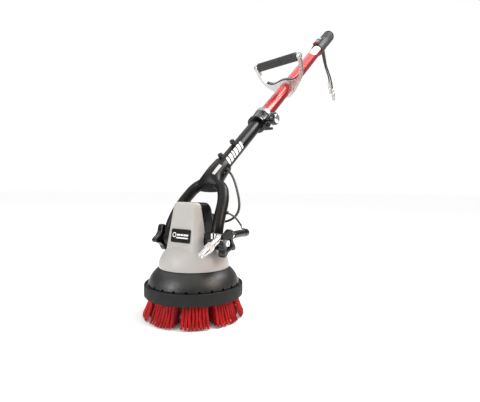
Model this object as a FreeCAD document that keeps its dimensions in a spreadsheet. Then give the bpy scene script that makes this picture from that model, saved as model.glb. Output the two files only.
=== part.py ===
import FreeCAD, Part
import Sketcher
import math
import os

# Handheld rotary floor scrubber: a round brush head under a hooded motor housing, a fork that
# tilts on two star knobs, and a telescopic pole with a loop handle and a rear grip.
# Millimetres, +Z up. The origin is where the brush's spin axis meets the floor, and the pole
# leans back towards +Y. The spray nozzle is on the +X side.

DIMENSIONS = {
    # pole axis
    "pole_elevation": 37.0,
    "pole_height": 252.0,
    # fork pivot
    "pivot_y": -5.0,
    "pivot_z": 165.0,
    "pivot_stud": 5.0,
    "running_gap": 0.05,
    # brush
    "tuft_groups": 9,
    "tuft_length": 50.0,
    "tuft_half_angle": 17.0,
    "tuft_root_inner": 58.0,
    "tuft_root_outer": 97.0,
    "tuft_tip_inner": 64.0,
    "tuft_tip_outer": 114.5,
    "block_radius": 99.0,
    "block_height": 13.0,
    "hub_spigot": 29.6,
    "hub_flange": 46.0,
    "hub_boss": 15.0,
    "shaft_radius": 6.0,
    "shaft_bottom": 45.0,
    # splash guard
    "guard_top": 106.5,
    "guard_wall": 3.0,
    "guard_neck": 77.0,
    "guard_foot": 100.5,
    "guard_skirt": 105.0,
    "guard_bend": 58.0,
    "weight_inner": 24.0,
    "weight_outer": 70.0,
    "weight_bottom": 85.0,
    "band_radius": 109.0,
    "band_bottom": 46.3,
    "band_top": 71.3,
    "guard_notches": 24,
    # motor housing
    "deck_thickness": 4.0,
    "deck_radius": 74.5,
    "bell_radius": 78.3,
    "bell_height": 58.0,
    "bell_shoulder": 47.0,
    "bell_crown": 97.03,
    "bell_meet_x": 60.7,
    "bell_meet_rise": 36.66,
    "bell_base": 108.5,
    "shell_wall": 2.5,
    "tower_base": 110.0,
    "tower_top": 249.5,
    "tower_base_half": 47.5,
    "tower_top_half": 34.5,
    "tower_base_front": 55.0,
    "tower_top_front": 34.0,
    "tower_base_back": 39.0,
    "tower_top_back": 23.0,
    "tower_corner": 13.0,
    "tower_back_round": 22.0,
    "tower_front_round": 11.0,
    # drive train
    "gear_module": 1.0,
    "sun_teeth": 15,
    "planet_teeth": 15,
    "ring_teeth": 45,
    "planet_count": 3,
    "gear_backlash": 0.12,
    "gear_bottom": 122.0,
    "gear_width": 11.0,
    "ring_outer": 28.0,
    "planet_pin": 2.5,
    "motor_radius": 25.0,
    "motor_flange": 34.0,
    "motor_bottom": 141.0,
    "motor_length": 64.0,
    "bearing_outer": 14.0,
    "bearing_width": 8.0,
    # fork and knobs
    "arm_radius": 13.0,
    "tab_radius": 16.0,
    "tab_inner": 60.0,
    "tab_outer": 72.0,
    "knob_radius": 31.5,
    "knob_depth": 16.0,
    "knob_inner": 80.5,
    "lobe_radius": 8.5,
    "knob_lobes": 4,
    # tubes, measured along the pole from its origin
    "lower_tube_radius": 17.5,
    "lower_tube_wall": 1.8,
    "lower_tube_start": 72.0,
    "lower_tube_end": 800.0,
    "upper_tube_radius": 19.0,
    "upper_tube_wall": 1.2,
    "upper_tube_start": 362.0,
    "upper_tube_end": 1092.0,
    "socket_end": 138.0,
    "socket_radius": 23.0,
    "socket_bolt_at": 102.0,
    # telescope clamp
    "clamp_start": 346.0,
    "clamp_end": 404.0,
    "clamp_radius": 24.5,
    "clamp_lip": 26.5,
    "clamp_knob_radius": 18.0,
    # loop handle
    "loop_station": 593.0,
    "loop_turn": 5.6,
    "loop_width": 80.0,
    "loop_bar_height": 87.0,
    "loop_depth": 14.0,
    "loop_hub_radius": 28.0,
    "bar_radius": 5.0,
    "bar_grip_radius": 13.5,
    "bar_grip_half": 68.5,
    # rear grip
    "housing_start": 935.0,
    "housing_end": 1002.0,
    "housing_radius": 22.5,
    "grip_end": 1096.0,
    "grip_radius": 21.3,
    "rib_radius": 23.0,
    "button_radius": 7.5,
    "button_travel": 1.5,
    "power_button_at": 951.0,
    "water_button_at": 983.0,
    # spray line
    "spray_x": 106.0,
    "spray_y": -51.0,
    "spray_z": 184.0,
    "filter_start": -11.0,
    "filter_radius": 8.0,
    "nozzle_dip": 24.0,
    # cables
    "cable_radius": 3.0,
    "hose_radius": 2.2,
    "lead_radius": 2.7,
    "lead_exit_at": 993.0,
    "lead_exit_drop": 70.0,
    "connector_radius": 6.2,
}

doc = FreeCAD.newDocument("FloorScrubber")
sheet = doc.addObject("Spreadsheet::Sheet", "Dims")
for row, (alias, number) in enumerate(DIMENSIONS.items(), start=1):
    sheet.set(f"A{row}", alias)
    sheet.set(f"B{row}", str(number))
    sheet.setAlias(f"B{row}", alias)
doc.recompute()

nodes = {}


# ---------------------------------------------------------------- sizes driven by the sheet


class Size:
    """A number together with the spreadsheet expression that drives it."""

    def __init__(self, value, text):
        self.value = value
        self.text = text

    def __add__(self, other):
        return combine(self, "+", other)

    def __radd__(self, other):
        return combine(other, "+", self)

    def __sub__(self, other):
        return combine(self, "-", other)

    def __rsub__(self, other):
        return combine(other, "-", self)

    def __mul__(self, other):
        return combine(self, "*", other)

    def __rmul__(self, other):
        return combine(other, "*", self)

    def __truediv__(self, other):
        return combine(self, "/", other)

    def __neg__(self):
        return combine(0.0, "-", self)


def value_of(size):
    return size.value if isinstance(size, Size) else float(size)


def text_of(size):
    return size.text if isinstance(size, Size) else repr(float(size))


def combine(left, sign, right):
    first, second = value_of(left), value_of(right)
    results = {"+": first + second, "-": first - second, "*": first * second}
    value = first / second if sign == "/" else results[sign]
    return Size(value, f"({text_of(left)} {sign} {text_of(right)})")


class Dimensions:
    """Reads a cell of the sheet as a Size, by its alias."""

    def __getattr__(self, alias):
        return Size(float(sheet.get(alias)), f"Dims.{alias}")


dim = Dimensions()


def bind(obj, **sizes):
    """Drives the named properties of obj from the sheet."""
    for name, size in sizes.items():
        if isinstance(size, Size):
            obj.setExpression(name, size.text)
        else:
            setattr(obj, name, size)
    return obj


# ---------------------------------------------------------------- placements

WORLD = FreeCAD.Placement()
X_AXIS = FreeCAD.Vector(1, 0, 0)
Y_AXIS = FreeCAD.Vector(0, 1, 0)
Z_AXIS = FreeCAD.Vector(0, 0, 1)


def place(x=0, y=0, z=0, axis=Z_AXIS, angle=0):
    position = FreeCAD.Vector(value_of(x), value_of(y), value_of(z))
    return FreeCAD.Placement(position, FreeCAD.Rotation(axis, angle))


# Along the pole: local z runs up the pole, local x is world X, local -y is the pole's top side.
POLE = place(0, 0, dim.pole_height, X_AXIS, dim.pole_elevation.value - 90.0)
# The loop handle is turned a little about the pole.
LOOP = POLE * place(0, 0, dim.loop_station, Z_AXIS, -dim.loop_turn.value)
PIVOT_RIGHT = place(0, dim.pivot_y, dim.pivot_z, Y_AXIS, 90)
PIVOT_LEFT = place(0, dim.pivot_y, dim.pivot_z, Y_AXIS, -90)


def on_pole(along, x=0.0, down=0.0):
    """The world point at a station along the pole, with an offset across it."""
    return POLE.multVec(FreeCAD.Vector(value_of(x), value_of(down), value_of(along)))


# ---------------------------------------------------------------- building blocks


def node(label, obj, placement=WORLD):
    """Names a finished sub-part and puts it in its place."""
    obj.Label = label
    obj.Placement = placement * obj.Placement
    nodes[label] = obj
    return obj


def plane_of(body, role):
    return next(f for f in body.Origin.OriginFeatures if f.Role == role)


def start_body(name):
    return doc.addObject("PartDesign::Body", name)


def sketch_on(body, name, role):
    sketch = body.newObject("Sketcher::SketchObject", name)
    sketch.AttachmentSupport = [(plane_of(body, role), "")]
    sketch.MapMode = "FlatFace"
    return sketch


def fix_point(sketch, geometry, end, x, y):
    for kind, size in (("DistanceX", x), ("DistanceY", y)):
        index = sketch.addConstraint(
            Sketcher.Constraint(kind, -1, 1, geometry, end, value_of(size))
        )
        if isinstance(size, Size):
            sketch.setExpression(f"Constraints[{index}]", size.text)


def arc_through(start, end, radius):
    """An arc from start to end; a positive radius bulges to the left of the way there."""
    middle = (start + end) * 0.5
    chord = end - start
    left = FreeCAD.Vector(-chord.y, chord.x, 0).normalize()
    height = math.sqrt(radius**2 - (chord.Length / 2) ** 2)
    bulges_left = radius > 0
    centre = middle - left * (height if bulges_left else -height)
    # Sketches keep arcs counter-clockwise, so one that bulges left is stored end first.
    first, last = (end, start) if bulges_left else (start, end)
    begin = math.atan2(first.y - centre.y, first.x - centre.x)
    finish = math.atan2(last.y - centre.y, last.x - centre.x)
    if finish < begin:
        finish += 2 * math.pi
    return Part.ArcOfCircle(Part.Circle(centre, Z_AXIS, abs(radius)), begin, finish)


def outline(sketch, points):
    """A closed outline. Each point is (x, y), or (x, y, radius) where an arc leads to the next."""
    corners = [FreeCAD.Vector(value_of(p[0]), value_of(p[1]), 0) for p in points]
    count = len(points)
    for i, point in enumerate(points):
        start, end = corners[i], corners[(i + 1) % count]
        if len(point) == 3:
            sketch.addGeometry(arc_through(start, end, value_of(point[2])), False)
        else:
            sketch.addGeometry(Part.LineSegment(start, end), False)
    # Solving can move the curves, so which way each arc runs is looked up before it.
    curves = sketch.Geometry
    turned_round = [(curves[i].StartPoint - corners[i]).Length > 1e-6 for i in range(count)]
    for i, point in enumerate(points):
        if len(point) == 3:
            index = sketch.addConstraint(Sketcher.Constraint("Radius", i, curves[i].Radius))
            if isinstance(point[2], Size):
                sketch.setExpression(f"Constraints[{index}]", f"abs({point[2].text})")
        near = 2 if turned_round[i] else 1
        fix_point(sketch, i, near, point[0], point[1])
        before = (i - 1) % count
        far = 1 if turned_round[before] else 2
        sketch.addConstraint(Sketcher.Constraint("Coincident", before, far, i, near))


def turned_body(name, profile):
    """A body turned about its z axis from a profile of (radius, height) points."""
    body = start_body(name)
    sketch = sketch_on(body, name + "_profile", "XZ_Plane")
    outline(sketch, profile)
    turn = body.newObject("PartDesign::Revolution", name + "_turn")
    turn.Profile = sketch
    turn.ReferenceAxis = (sketch, ["V_Axis"])
    turn.Angle = 360
    sketch.Visibility = False
    return body


def turned(label, profile, placement=WORLD):
    return node(label, turned_body(label, profile), placement)


def ring_profile(inner, outer, bottom, top):
    return [(inner, bottom), (outer, bottom), (outer, top), (inner, top)]


def padded_body(name, points, length, role="XY_Plane"):
    """A body padded from a closed outline."""
    body = start_body(name)
    sketch = sketch_on(body, name + "_outline", role)
    outline(sketch, points)
    pad = body.newObject("PartDesign::Pad", name + "_pad")
    pad.Profile = sketch
    bind(pad, Length=length)
    return body


def cylinder(name, radius, height, placement=WORLD):
    obj = bind(doc.addObject("Part::Cylinder", name), Radius=radius, Height=height)
    obj.Placement = placement
    return obj


def box(name, low, high, placement=WORLD):
    """A box between two corners given as sizes."""
    obj = doc.addObject("Part::Box", name)
    bind(obj, Length=high[0] - low[0], Width=high[1] - low[1], Height=high[2] - low[2])
    corner = FreeCAD.Vector(*(value_of(c) for c in low))
    obj.Placement = placement * FreeCAD.Placement(corner, FreeCAD.Rotation())
    return obj


def fused(name, parts):
    obj = doc.addObject("Part::MultiFuse", name)
    obj.Shapes = parts
    return obj


def cut(name, base, tool):
    obj = doc.addObject("Part::Cut", name)
    obj.Base = base
    obj.Tool = tool
    return obj


def common(name, first, second):
    obj = doc.addObject("Part::MultiCommon", name)
    obj.Shapes = [first, second]
    return obj


def bundle(name, parts, placement=WORLD):
    """Several separate solids as one object."""
    obj = doc.addObject("Part::Compound", name)
    obj.Links = parts
    obj.Placement = placement
    return obj


def group(label, parts, placement=WORLD):
    """Several separate solids in one node."""
    return node(label, bundle(label + "_group", parts), placement)


def shape_node(label, shape, placement=WORLD):
    obj = doc.addObject("Part::Feature", label)
    obj.Shape = shape
    return node(label, obj, placement)


def rounded(name, base, chosen, radius):
    """A fillet of one radius on the edges that chosen(edge) picks."""
    doc.recompute()
    obj = doc.addObject("Part::Fillet", name)
    obj.Base = base
    edges = enumerate(base.Shape.Edges, start=1)
    obj.Edges = [(i, value_of(radius), value_of(radius)) for i, e in edges if chosen(e)]
    return obj


def around(count, radius, start_angle=0.0):
    """Angles and points evenly spaced on a circle."""
    for i in range(int(value_of(count))):
        angle = start_angle + 360.0 * i / int(value_of(count))
        turn = math.radians(angle)
        yield angle, value_of(radius) * math.cos(turn), value_of(radius) * math.sin(turn)


def screws(label, spots, head_radius, head_height, shank_radius, shank_length, placement=WORLD):
    """Pan-head screws, not yet in a node, with heads along local -z at each (x, y, z) spot."""
    parts = []
    for i, (x, y, z) in enumerate(spots):
        head = cylinder(f"{label}_head{i}", head_radius, head_height)
        head.Placement = place(x, y, value_of(z) - value_of(head_height))
        shank = cylinder(f"{label}_shank{i}", shank_radius, shank_length, place(x, y, z))
        parts.append(fused(f"{label}_screw{i}", [head, shank]))
    return bundle(label, parts, placement)


# ---------------------------------------------------------------- paths for cables and bars


def rounded_path(points, name=""):
    """Straight runs joined by tangent arcs, each as large as its two runs allow."""
    route = [FreeCAD.Vector(*p) for p in points]
    edges = []
    radii = []
    begin = route[0]
    for before, corner, after in zip(route, route[1:], route[2:]):
        back = (before - corner).normalize()
        ahead = (after - corner).normalize()
        turn = math.pi - back.getAngle(ahead)
        shorter = min((before - corner).Length, (after - corner).Length)
        setback = 0.45 * shorter
        radii.append(setback / math.tan(turn / 2))
        first = corner + back * setback
        second = corner + ahead * setback
        inward = (back + ahead).normalize()
        reach = radii[-1] * (1 / math.cos(turn / 2) - 1)
        edges.append(Part.LineSegment(begin, first).toShape())
        edges.append(Part.Arc(first, corner + inward * reach, second).toShape())
        begin = second
    edges.append(Part.LineSegment(begin, route[-1]).toShape())
    if name:
        print(name, "arc radii:", [round(r, 1) for r in radii])
    return Part.Wire(edges)


def swept(path, radius):
    """A round bar along a path."""
    first = path.Edges[0]
    start = first.valueAt(first.FirstParameter)
    heading = first.tangentAt(first.FirstParameter)
    rim = Part.Circle(start, heading, radius)
    builder = Part.BRepOffsetAPI.MakePipeShell(path)
    builder.setFrenetMode(False)
    builder.add(Part.Wire([rim.toShape()]))
    builder.build()
    builder.makeSolid()
    return builder.shape()


def cord(label, points, radius):
    """A round cord in a node of its own, with its volume compared with its length."""
    path = rounded_path(points, label)
    solid = swept(path, value_of(radius))
    expected = math.pi * value_of(radius) ** 2 * path.Length
    if abs(solid.Volume / expected - 1) > 0.01:
        raise RuntimeError(f"{label} has the wrong volume")
    print(label, "length:", round(path.Length, 1))
    return shape_node(label, solid)


# ---------------------------------------------------------------- gears


def involute(angle):
    return math.tan(angle) - angle


def gear_face(teeth, outer_step, inner_step, thickness_change, phase):
    """The outline of an involute gear, with a tooth centred at phase degrees."""
    module = dim.gear_module.value
    pressure = math.radians(20)
    pitch = module * teeth / 2
    base = pitch * math.cos(pressure)
    outer = pitch + outer_step * module
    inner = pitch - inner_step * module
    half_at_pitch = (math.pi * module / 2 + thickness_change) / (2 * pitch)

    def half_angle(radius):
        return half_at_pitch + involute(pressure) - involute(math.acos(base / radius))

    def point(radius, angle):
        return FreeCAD.Vector(radius * math.cos(angle), radius * math.sin(angle), 0)

    flank_start = max(base, inner)
    steps = [flank_start + (outer - flank_start) * i / 6 for i in range(7)]
    edges = []
    for tooth in range(teeth):
        middle = math.radians(phase) + 2 * math.pi * tooth / teeth
        rising = [point(r, middle - half_angle(r)) for r in steps]
        falling = [point(r, middle + half_angle(r)) for r in reversed(steps)]
        root_half = half_angle(flank_start)
        root_in = point(inner, middle - root_half)
        root_out = point(inner, middle + root_half)
        if inner < base:
            edges.append(Part.LineSegment(root_in, rising[0]).toShape())
        edges.append(flank(rising))
        edges.append(Part.Arc(rising[-1], point(outer, middle), falling[0]).toShape())
        edges.append(flank(falling))
        if inner < base:
            edges.append(Part.LineSegment(falling[-1], root_out).toShape())
        gap_middle = middle + math.pi / teeth
        next_root = point(inner, middle + 2 * math.pi / teeth - root_half)
        edges.append(Part.Arc(root_out, point(inner, gap_middle), next_root).toShape())
    return Part.Face(Part.Wire(edges))


def flank(points):
    curve = Part.BSplineCurve()
    curve.interpolate(points)
    return curve.toShape()


# ---------------------------------------------------------------- brush


def sector(inner, outer, half_angle, middle, height):
    """An annular sector at a height, as a closed wire."""
    near, far = math.radians(middle - half_angle), math.radians(middle + half_angle)
    centre = math.radians(middle)

    def point(radius, angle):
        return FreeCAD.Vector(radius * math.cos(angle), radius * math.sin(angle), height)

    return Part.Wire(
        [
            Part.Arc(point(inner, near), point(inner, centre), point(inner, far)).toShape(),
            Part.LineSegment(point(inner, far), point(outer, far)).toShape(),
            Part.Arc(point(outer, far), point(outer, centre), point(outer, near)).toShape(),
            Part.LineSegment(point(outer, near), point(inner, near)).toShape(),
        ]
    )


def drilled(name, base, spots, radius, low, high):
    """Round holes along z through base, at (x, y) spots."""
    depth = high - low
    tools = [
        cylinder(f"{name}_drill{i}", radius, depth, place(x, y, low))
        for i, (x, y) in enumerate(spots)
    ]
    return cut(name, base, fused(name + "_drills", tools))


def make_brush():
    block_bottom = dim.tuft_length
    block_top = block_bottom + dim.block_height
    flange_top = block_top + 4.0
    groups = []
    for angle, _, _ in around(dim.tuft_groups, 1.0, -90.0):
        half = dim.tuft_half_angle.value
        tip = sector(dim.tuft_tip_inner.value, dim.tuft_tip_outer.value, half, angle, 0.0)
        root = sector(
            dim.tuft_root_inner.value,
            dim.tuft_root_outer.value,
            half,
            angle,
            block_bottom.value,
        )
        groups.append(Part.makeLoft([tip, root], True, True))
    shape_node("brush_tufts", Part.makeCompound(groups))

    spigot = dim.hub_spigot
    spots = [(x, y) for _, x, y in around(3, 38.0, 30.0)]
    block = turned_body(
        "block_blank",
        [
            (spigot + 0.4, block_bottom),
            (dim.block_radius - 2.0, block_bottom),
            (dim.block_radius, block_bottom + 2.0),
            (dim.block_radius, block_top - 2.0),
            (dim.block_radius - 2.0, block_top),
            (spigot + 0.4, block_top),
        ],
    )
    node("brush_block", drilled("block_drilled", block, spots, 2.5, 54.0, 64.0))
    hub = turned_body(
        "hub_blank",
        [
            (dim.shaft_radius, block_bottom + 4.0),
            (spigot, block_bottom + 4.0),
            (spigot, block_top),
            (dim.hub_flange, block_top),
            (dim.hub_flange, flange_top),
            (dim.hub_boss, flange_top),
            (dim.hub_boss, flange_top + 11.0),
            (dim.shaft_radius, flange_top + 11.0),
        ],
    )
    node("drive_hub", drilled("hub_drilled", hub, spots, 2.5, 60.0, 70.0))
    flipped = [(x, -y, 0.0) for x, y in spots]
    over = place(0, 0, flange_top, X_AXIS, 180)
    hub_screws = screws("hub_screws", flipped, 4.5, 3.0, 2.5, 13.0, over)
    nut = doc.addObject("Part::Prism", "nut_blank")
    nut.Polygon = 6
    bind(nut, Circumradius=9.0, Height=4.0)
    nut.Placement = place(0, 0, block_bottom)
    bore = cylinder("nut_bore", dim.shaft_radius, 6.0, place(0, 0, block_bottom - 1.0))
    group("hub_fasteners", [hub_screws, cut("nut_cut", nut, bore)])
    turned(
        "output_shaft",
        [
            (0, dim.shaft_bottom),
            (dim.shaft_radius - 0.8, dim.shaft_bottom),
            (dim.shaft_radius, dim.shaft_bottom + 0.8),
            (dim.shaft_radius, 118.0),
            (0, 118.0),
        ],
    )


# ---------------------------------------------------------------- drive train


def make_drive():
    gear_bottom = dim.gear_bottom.value
    gear_width = dim.gear_width.value
    backlash = dim.gear_backlash.value
    sun_teeth = int(dim.sun_teeth.value)
    planet_teeth = int(dim.planet_teeth.value)
    ring_teeth = int(dim.ring_teeth.value)
    orbit = dim.gear_module * (dim.sun_teeth + dim.planet_teeth) / 2.0
    lift = FreeCAD.Vector(0, 0, gear_width)
    up = place(0, 0, gear_bottom)

    # Carrier with three planet pins, fixed on the output shaft.
    plate = turned_body(
        "carrier_plate",
        [
            (dim.shaft_radius, 113.0),
            (9.0, 113.0),
            (9.0, 118.0),
            (22.0, 118.0),
            (22.0, 121.0),
            (0, 121.0),
            (0, 118.0),
            (dim.shaft_radius, 118.0),
        ],
    )
    pins = [
        cylinder(f"planet_pin{i}", dim.planet_pin, 13.0, place(x, y, 120.5))
        for i, (_, x, y) in enumerate(around(dim.planet_count, orbit))
    ]
    node("planet_carrier", fused("carrier_fused", [plate] + pins))

    # Sun gear on the motor's shaft, planets on the pins, and the fixed ring.
    sun = gear_face(sun_teeth, 0.9, 1.25, -backlash, 0.0).extrude(lift)
    sun_bore = Part.makeCylinder(2.5, gear_width)
    sun_body = doc.addObject("Part::Feature", "sun_body")
    sun_body.Shape = sun.cut(sun_bore)
    sun_body.Placement = up
    sun_shaft = turned_body("sun_shaft", [(0, 122.0), (2.5, 122.0), (2.5, 150.0), (0, 150.0)])
    group("sun_gear", [sun_body, sun_shaft])
    for i, (angle, x, y) in enumerate(around(dim.planet_count, orbit), start=1):
        sun_fraction = angle * sun_teeth / 360.0 % 1.0
        phase = angle + 180.0 - (0.5 - sun_fraction) * 360.0 / planet_teeth
        planet = gear_face(planet_teeth, 0.9, 1.25, -backlash, phase).extrude(lift)
        planet_bore = Part.makeCylinder(2.5 + dim.running_gap.value, gear_width)
        shape_node(f"planet_gear_{i}", planet.cut(planet_bore), place(x, y, gear_bottom))
    planet_outward = (-(180.0 - 0.5 * 360.0 / planet_teeth)) * planet_teeth / 360.0
    ring_phase = -(planet_outward + 0.5) * 360.0 / ring_teeth
    rim = Part.makeCylinder(dim.ring_outer.value, gear_width)
    teeth_void = gear_face(ring_teeth, 1.25, 0.9, backlash, ring_phase + 180.0 / ring_teeth)
    shape_node("ring_gear", rim.cut(teeth_void.extrude(lift)), up)

    # Gearbox case, its bearings and seal.
    seat = dim.bearing_outer
    case_spots = [(x, y) for _, x, y in around(4, 32.4, 45.0)]
    case = turned_body(
        "case_blank",
        [
            (13.0, 79.0),
            (19.5, 79.0),
            (19.5, 110.5),
            (34.8, 110.5),
            (34.8, 115.0),
            (30.0, 115.0),
            (30.0, 134.0),
            (dim.motor_flange, 134.0),
            (dim.motor_flange, 138.0),
            (dim.ring_outer, 138.0),
            (dim.ring_outer, 117.0),
            (seat, 117.0),
            (seat, 104.0),
            (11.0, 104.0),
            (11.0, 92.0),
            (seat, 92.0),
            (seat, 84.0),
            (13.0, 84.0),
        ],
    )
    case = drilled("case_drilled", case, case_spots, 1.5, 109.0, 117.0)
    motor_spots = [(x, y) for _, x, y in around(4, 31.2, 0.0)]
    node("gearbox_case", drilled("case_tapped", case, motor_spots, 1.3, 132.0, 140.0))
    heads_up = place(0, 0, 115.0, X_AXIS, 180)
    gearbox_spots = [(x, -y, 0.0) for x, y in case_spots]
    small_screws = [screws("gearbox_screws", gearbox_spots, 2.2, 1.8, 1.5, 8.5, heads_up)]
    inner_race = dim.shaft_radius + dim.running_gap
    bearings = [
        turned_body(f"bearing{i}", ring_profile(inner_race, seat, low, low + dim.bearing_width))
        for i, low in enumerate((84.0, 104.0))
    ]
    group("output_bearings", bearings)
    # The motor's front flange closes the case.
    flange = dim.motor_bottom
    top = flange + dim.motor_length
    bore = 2.5 + dim.running_gap
    can = turned_body(
        "motor_blank",
        [
            (bore, 138.0),
            (dim.motor_flange, 138.0),
            (dim.motor_flange, flange),
            (dim.motor_radius, flange),
            (dim.motor_radius, top - 2.0),
            (dim.motor_radius - 2.0, top),
            (18.0, top),
            (18.0, top + 4.0),
            (8.0, top + 6.0),
            (0, top + 6.0),
            (0, 151.0),
            (bore, 151.0),
        ],
    )
    tabs = [
        box(f"motor_tab{i}", (x, -2.5, top + 3.0), (x + 0.8, 2.5, top + 12.0))
        for i, x in enumerate((-12.4, 11.6))
    ]
    whole = fused("motor_whole", [can] + tabs)
    node("drive_motor", drilled("motor_drilled", whole, motor_spots, 1.3, 136.0, 143.0))
    flange_spots = [(x, -y, 0.0) for x, y in motor_spots]
    heads_up = place(0, 0, flange, X_AXIS, 180)
    small_screws.append(screws("motor_screws", flange_spots, 2.2, 1.8, 1.3, 7.0, heads_up))
    return small_screws


# ---------------------------------------------------------------- splash guard and deck

DECK_SCREWS = [(x, y) for _, x, y in around(4, 59.4, 45.0)]


def make_deck():
    top = dim.guard_top
    wall = dim.guard_wall
    guard = turned_body(
        "guard_blank",
        [
            (42.0, top - wall),
            (dim.guard_neck - wall - 0.8, top - wall, dim.guard_bend - wall),
            (dim.guard_foot - wall, 68.5),
            (dim.guard_foot - wall, 66.0),
            (dim.guard_skirt - 2.5, 66.0),
            (dim.guard_skirt - 2.5, 48.5),
            (dim.guard_skirt, 48.5),
            (dim.guard_skirt, 69.0),
            (dim.guard_foot, 69.0),
            (dim.guard_foot, 73.0, -dim.guard_bend),
            (dim.guard_neck, top),
            (42.0, top),
        ],
    )
    notches = []
    for i, (angle, x, y) in enumerate(around(dim.guard_notches, dim.guard_foot)):
        notch = box(f"notch{i}", (-4.0, -2.6, 69.0), (2.6, 2.6, 75.5), place(x, y, 0, angle=angle))
        notches.append(notch)
    notched = cut("guard_notched", guard, fused("notch_tools", notches))
    bare = drilled("guard_drilled", notched, DECK_SCREWS, 2.1, 100.0, 108.0)
    node("splash_guard", bare)
    turned(
        "splash_band",
        [
            (dim.guard_skirt, dim.band_bottom),
            (dim.band_radius - 0.9, dim.band_bottom),
            (dim.band_radius, dim.band_bottom + 0.9),
            (dim.band_radius, dim.band_top - 1.2),
            (dim.band_radius - 1.2, dim.band_top),
            (dim.guard_skirt - 1.0, dim.band_top),
            (dim.guard_skirt - 1.0, 69.0),
            (dim.guard_skirt, 69.0),
        ],
    )
    deck_top = top + dim.deck_thickness
    deck = turned_body("deck_blank", ring_profile(19.6, dim.deck_radius, top, deck_top))
    small = [(x, y) for _, x, y in around(4, 32.4, 45.0)]
    bored = drilled("deck_bored", deck, small, 1.5, 105.0, 112.0)
    node("deck_plate", drilled("deck_drilled", bored, DECK_SCREWS, 2.1, 105.0, 112.0))
    spots = [(x, y, 0.0) for x, y in DECK_SCREWS]
    ring = turned_body(
        "weight_blank",
        [
            (dim.weight_inner, dim.weight_bottom),
            (dim.weight_outer - 2.0, dim.weight_bottom),
            (dim.weight_outer, dim.weight_bottom + 2.0),
            (dim.weight_outer, top - wall),
            (dim.weight_inner, top - wall),
        ],
    )
    node("weight_ring", drilled("weight_drilled", ring, DECK_SCREWS, 2.1, 80.0, 106.0))
    under = place(0, 0, dim.weight_bottom)
    return screws("deck_screws", spots, 3.8, 2.6, 2.0, 38.0, under)


# ---------------------------------------------------------------- cable routes

CABLE_ROUTE = [
    (27.8, 94.4, 321.4),
    (38.5, 91.2, 313.4),
    (50, 86, 299),
    (62, 78, 279),
    (72.5, 71, 257),
    (77.5, 66, 237),
    (75, 60, 221),
    (65, 53, 209.5),
    (52, 47, 204.5),
    (38, 44, 203),
]
HOSE_ROUTE = [
    (75.4, 22.5, 226.2),
    (83.4, 25.8, 222.6),
    (90.0, 30.0, 216.2),
    (95.2, 34.6, 207.6),
    (99.4, 39.2, 198.2),
]
WATER_LEAD_ROUTE = [
    on_pole(dim.lead_exit_at, 0.1, dim.lead_exit_drop),
    on_pole(dim.lead_exit_at, 0.1, dim.lead_exit_drop + 15.0),
    (2.6, 854.5, 767.5),
    (5.0, 866, 754),
    (6.6, 875.5, 741),
    (7.2, 879.5, 727),
]
POWER_LEAD_ROUTE = [
    on_pole(dim.lead_exit_at, 5.9, dim.lead_exit_drop),
    on_pole(dim.lead_exit_at, 5.9, dim.lead_exit_drop + 15.0),
    (9.6, 855.5, 765.5),
    (13.4, 866.5, 749),
    (16, 876, 731.5),
    (18.2, 882.5, 714),
    (19.6, 886, 697),
]
# The barb on the filter's cap points back along the hose.
BARB_WAY = (FreeCAD.Vector(*HOSE_ROUTE[-2]) - FreeCAD.Vector(*HOSE_ROUTE[-1])).normalize()
BARB_ROOT = FreeCAD.Vector(*HOSE_ROUTE[-1]) - BARB_WAY * 13.0


def facing(start, end, at=None):
    """A place at a point of a route, with its z axis along the way from start to end."""
    way = FreeCAD.Vector(*end) - FreeCAD.Vector(*start)
    return FreeCAD.Placement(FreeCAD.Vector(*(at or start)), FreeCAD.Rotation(Z_AXIS, way))


# ---------------------------------------------------------------- motor housing


def tower(name, inset):
    """The tapered tower, shrunk by inset on every side but its foot."""
    blank = doc.addObject("Part::Wedge", name + "_wedge")
    bind(
        blank,
        Ymin=0.0,
        Ymax=dim.tower_top - dim.tower_base - inset,
        Xmin=inset - dim.tower_base_half,
        Xmax=dim.tower_base_half - inset,
        X2min=inset - dim.tower_top_half,
        X2max=dim.tower_top_half - inset,
        Zmin=inset - dim.tower_base_back,
        Zmax=dim.tower_base_front - inset,
        Z2min=inset - dim.tower_top_back,
        Z2max=dim.tower_top_front - inset,
    )
    blank.Placement = place(0, 0, dim.tower_base, X_AXIS, 90)
    doc.recompute()
    top = blank.Shape.BoundBox.ZMax
    radii = []
    for i, edge in enumerate(blank.Shape.Edges, start=1):
        box_of = edge.BoundBox
        if box_of.ZLength > 50:
            radii.append((i, dim.tower_corner.value - inset, dim.tower_corner.value - inset))
        elif box_of.ZMin > top - 1:
            at_back = box_of.YMin > 0
            size = dim.tower_back_round if at_back else dim.tower_front_round
            radii.append((i, size.value - inset, size.value - inset))
    obj = doc.addObject("Part::Fillet", name)
    obj.Base = blank
    obj.Edges = radii
    return obj


def half_space(name, front):
    """A big block on one side of the plane where the two shells meet."""
    low, high = (-200.0, 0.0) if front else (0.0, 200.0)
    seam = place(0, -11.0, dim.pivot_z, X_AXIS, 6.8)
    return box(name, (-70.0, low, -90.0), (70.0, high, 120.0), seam)


def bell(name, inset):
    """The domed lower half: a small arc at the shoulder, a large one over the crown."""
    base = dim.bell_base
    edge = dim.bell_radius - inset
    # The two arcs meet on the line through their centres.
    meet_x = dim.bell_meet_x - 0.626 * inset
    meet_z = base + dim.bell_meet_rise - 0.780 * inset
    return turned_body(
        name,
        [
            (0, dim.guard_top),
            (edge, dim.guard_top),
            (edge, base, inset - dim.bell_shoulder),
            (meet_x, meet_z, inset - dim.bell_crown),
            (0, base + dim.bell_height - inset),
        ],
    )


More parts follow.
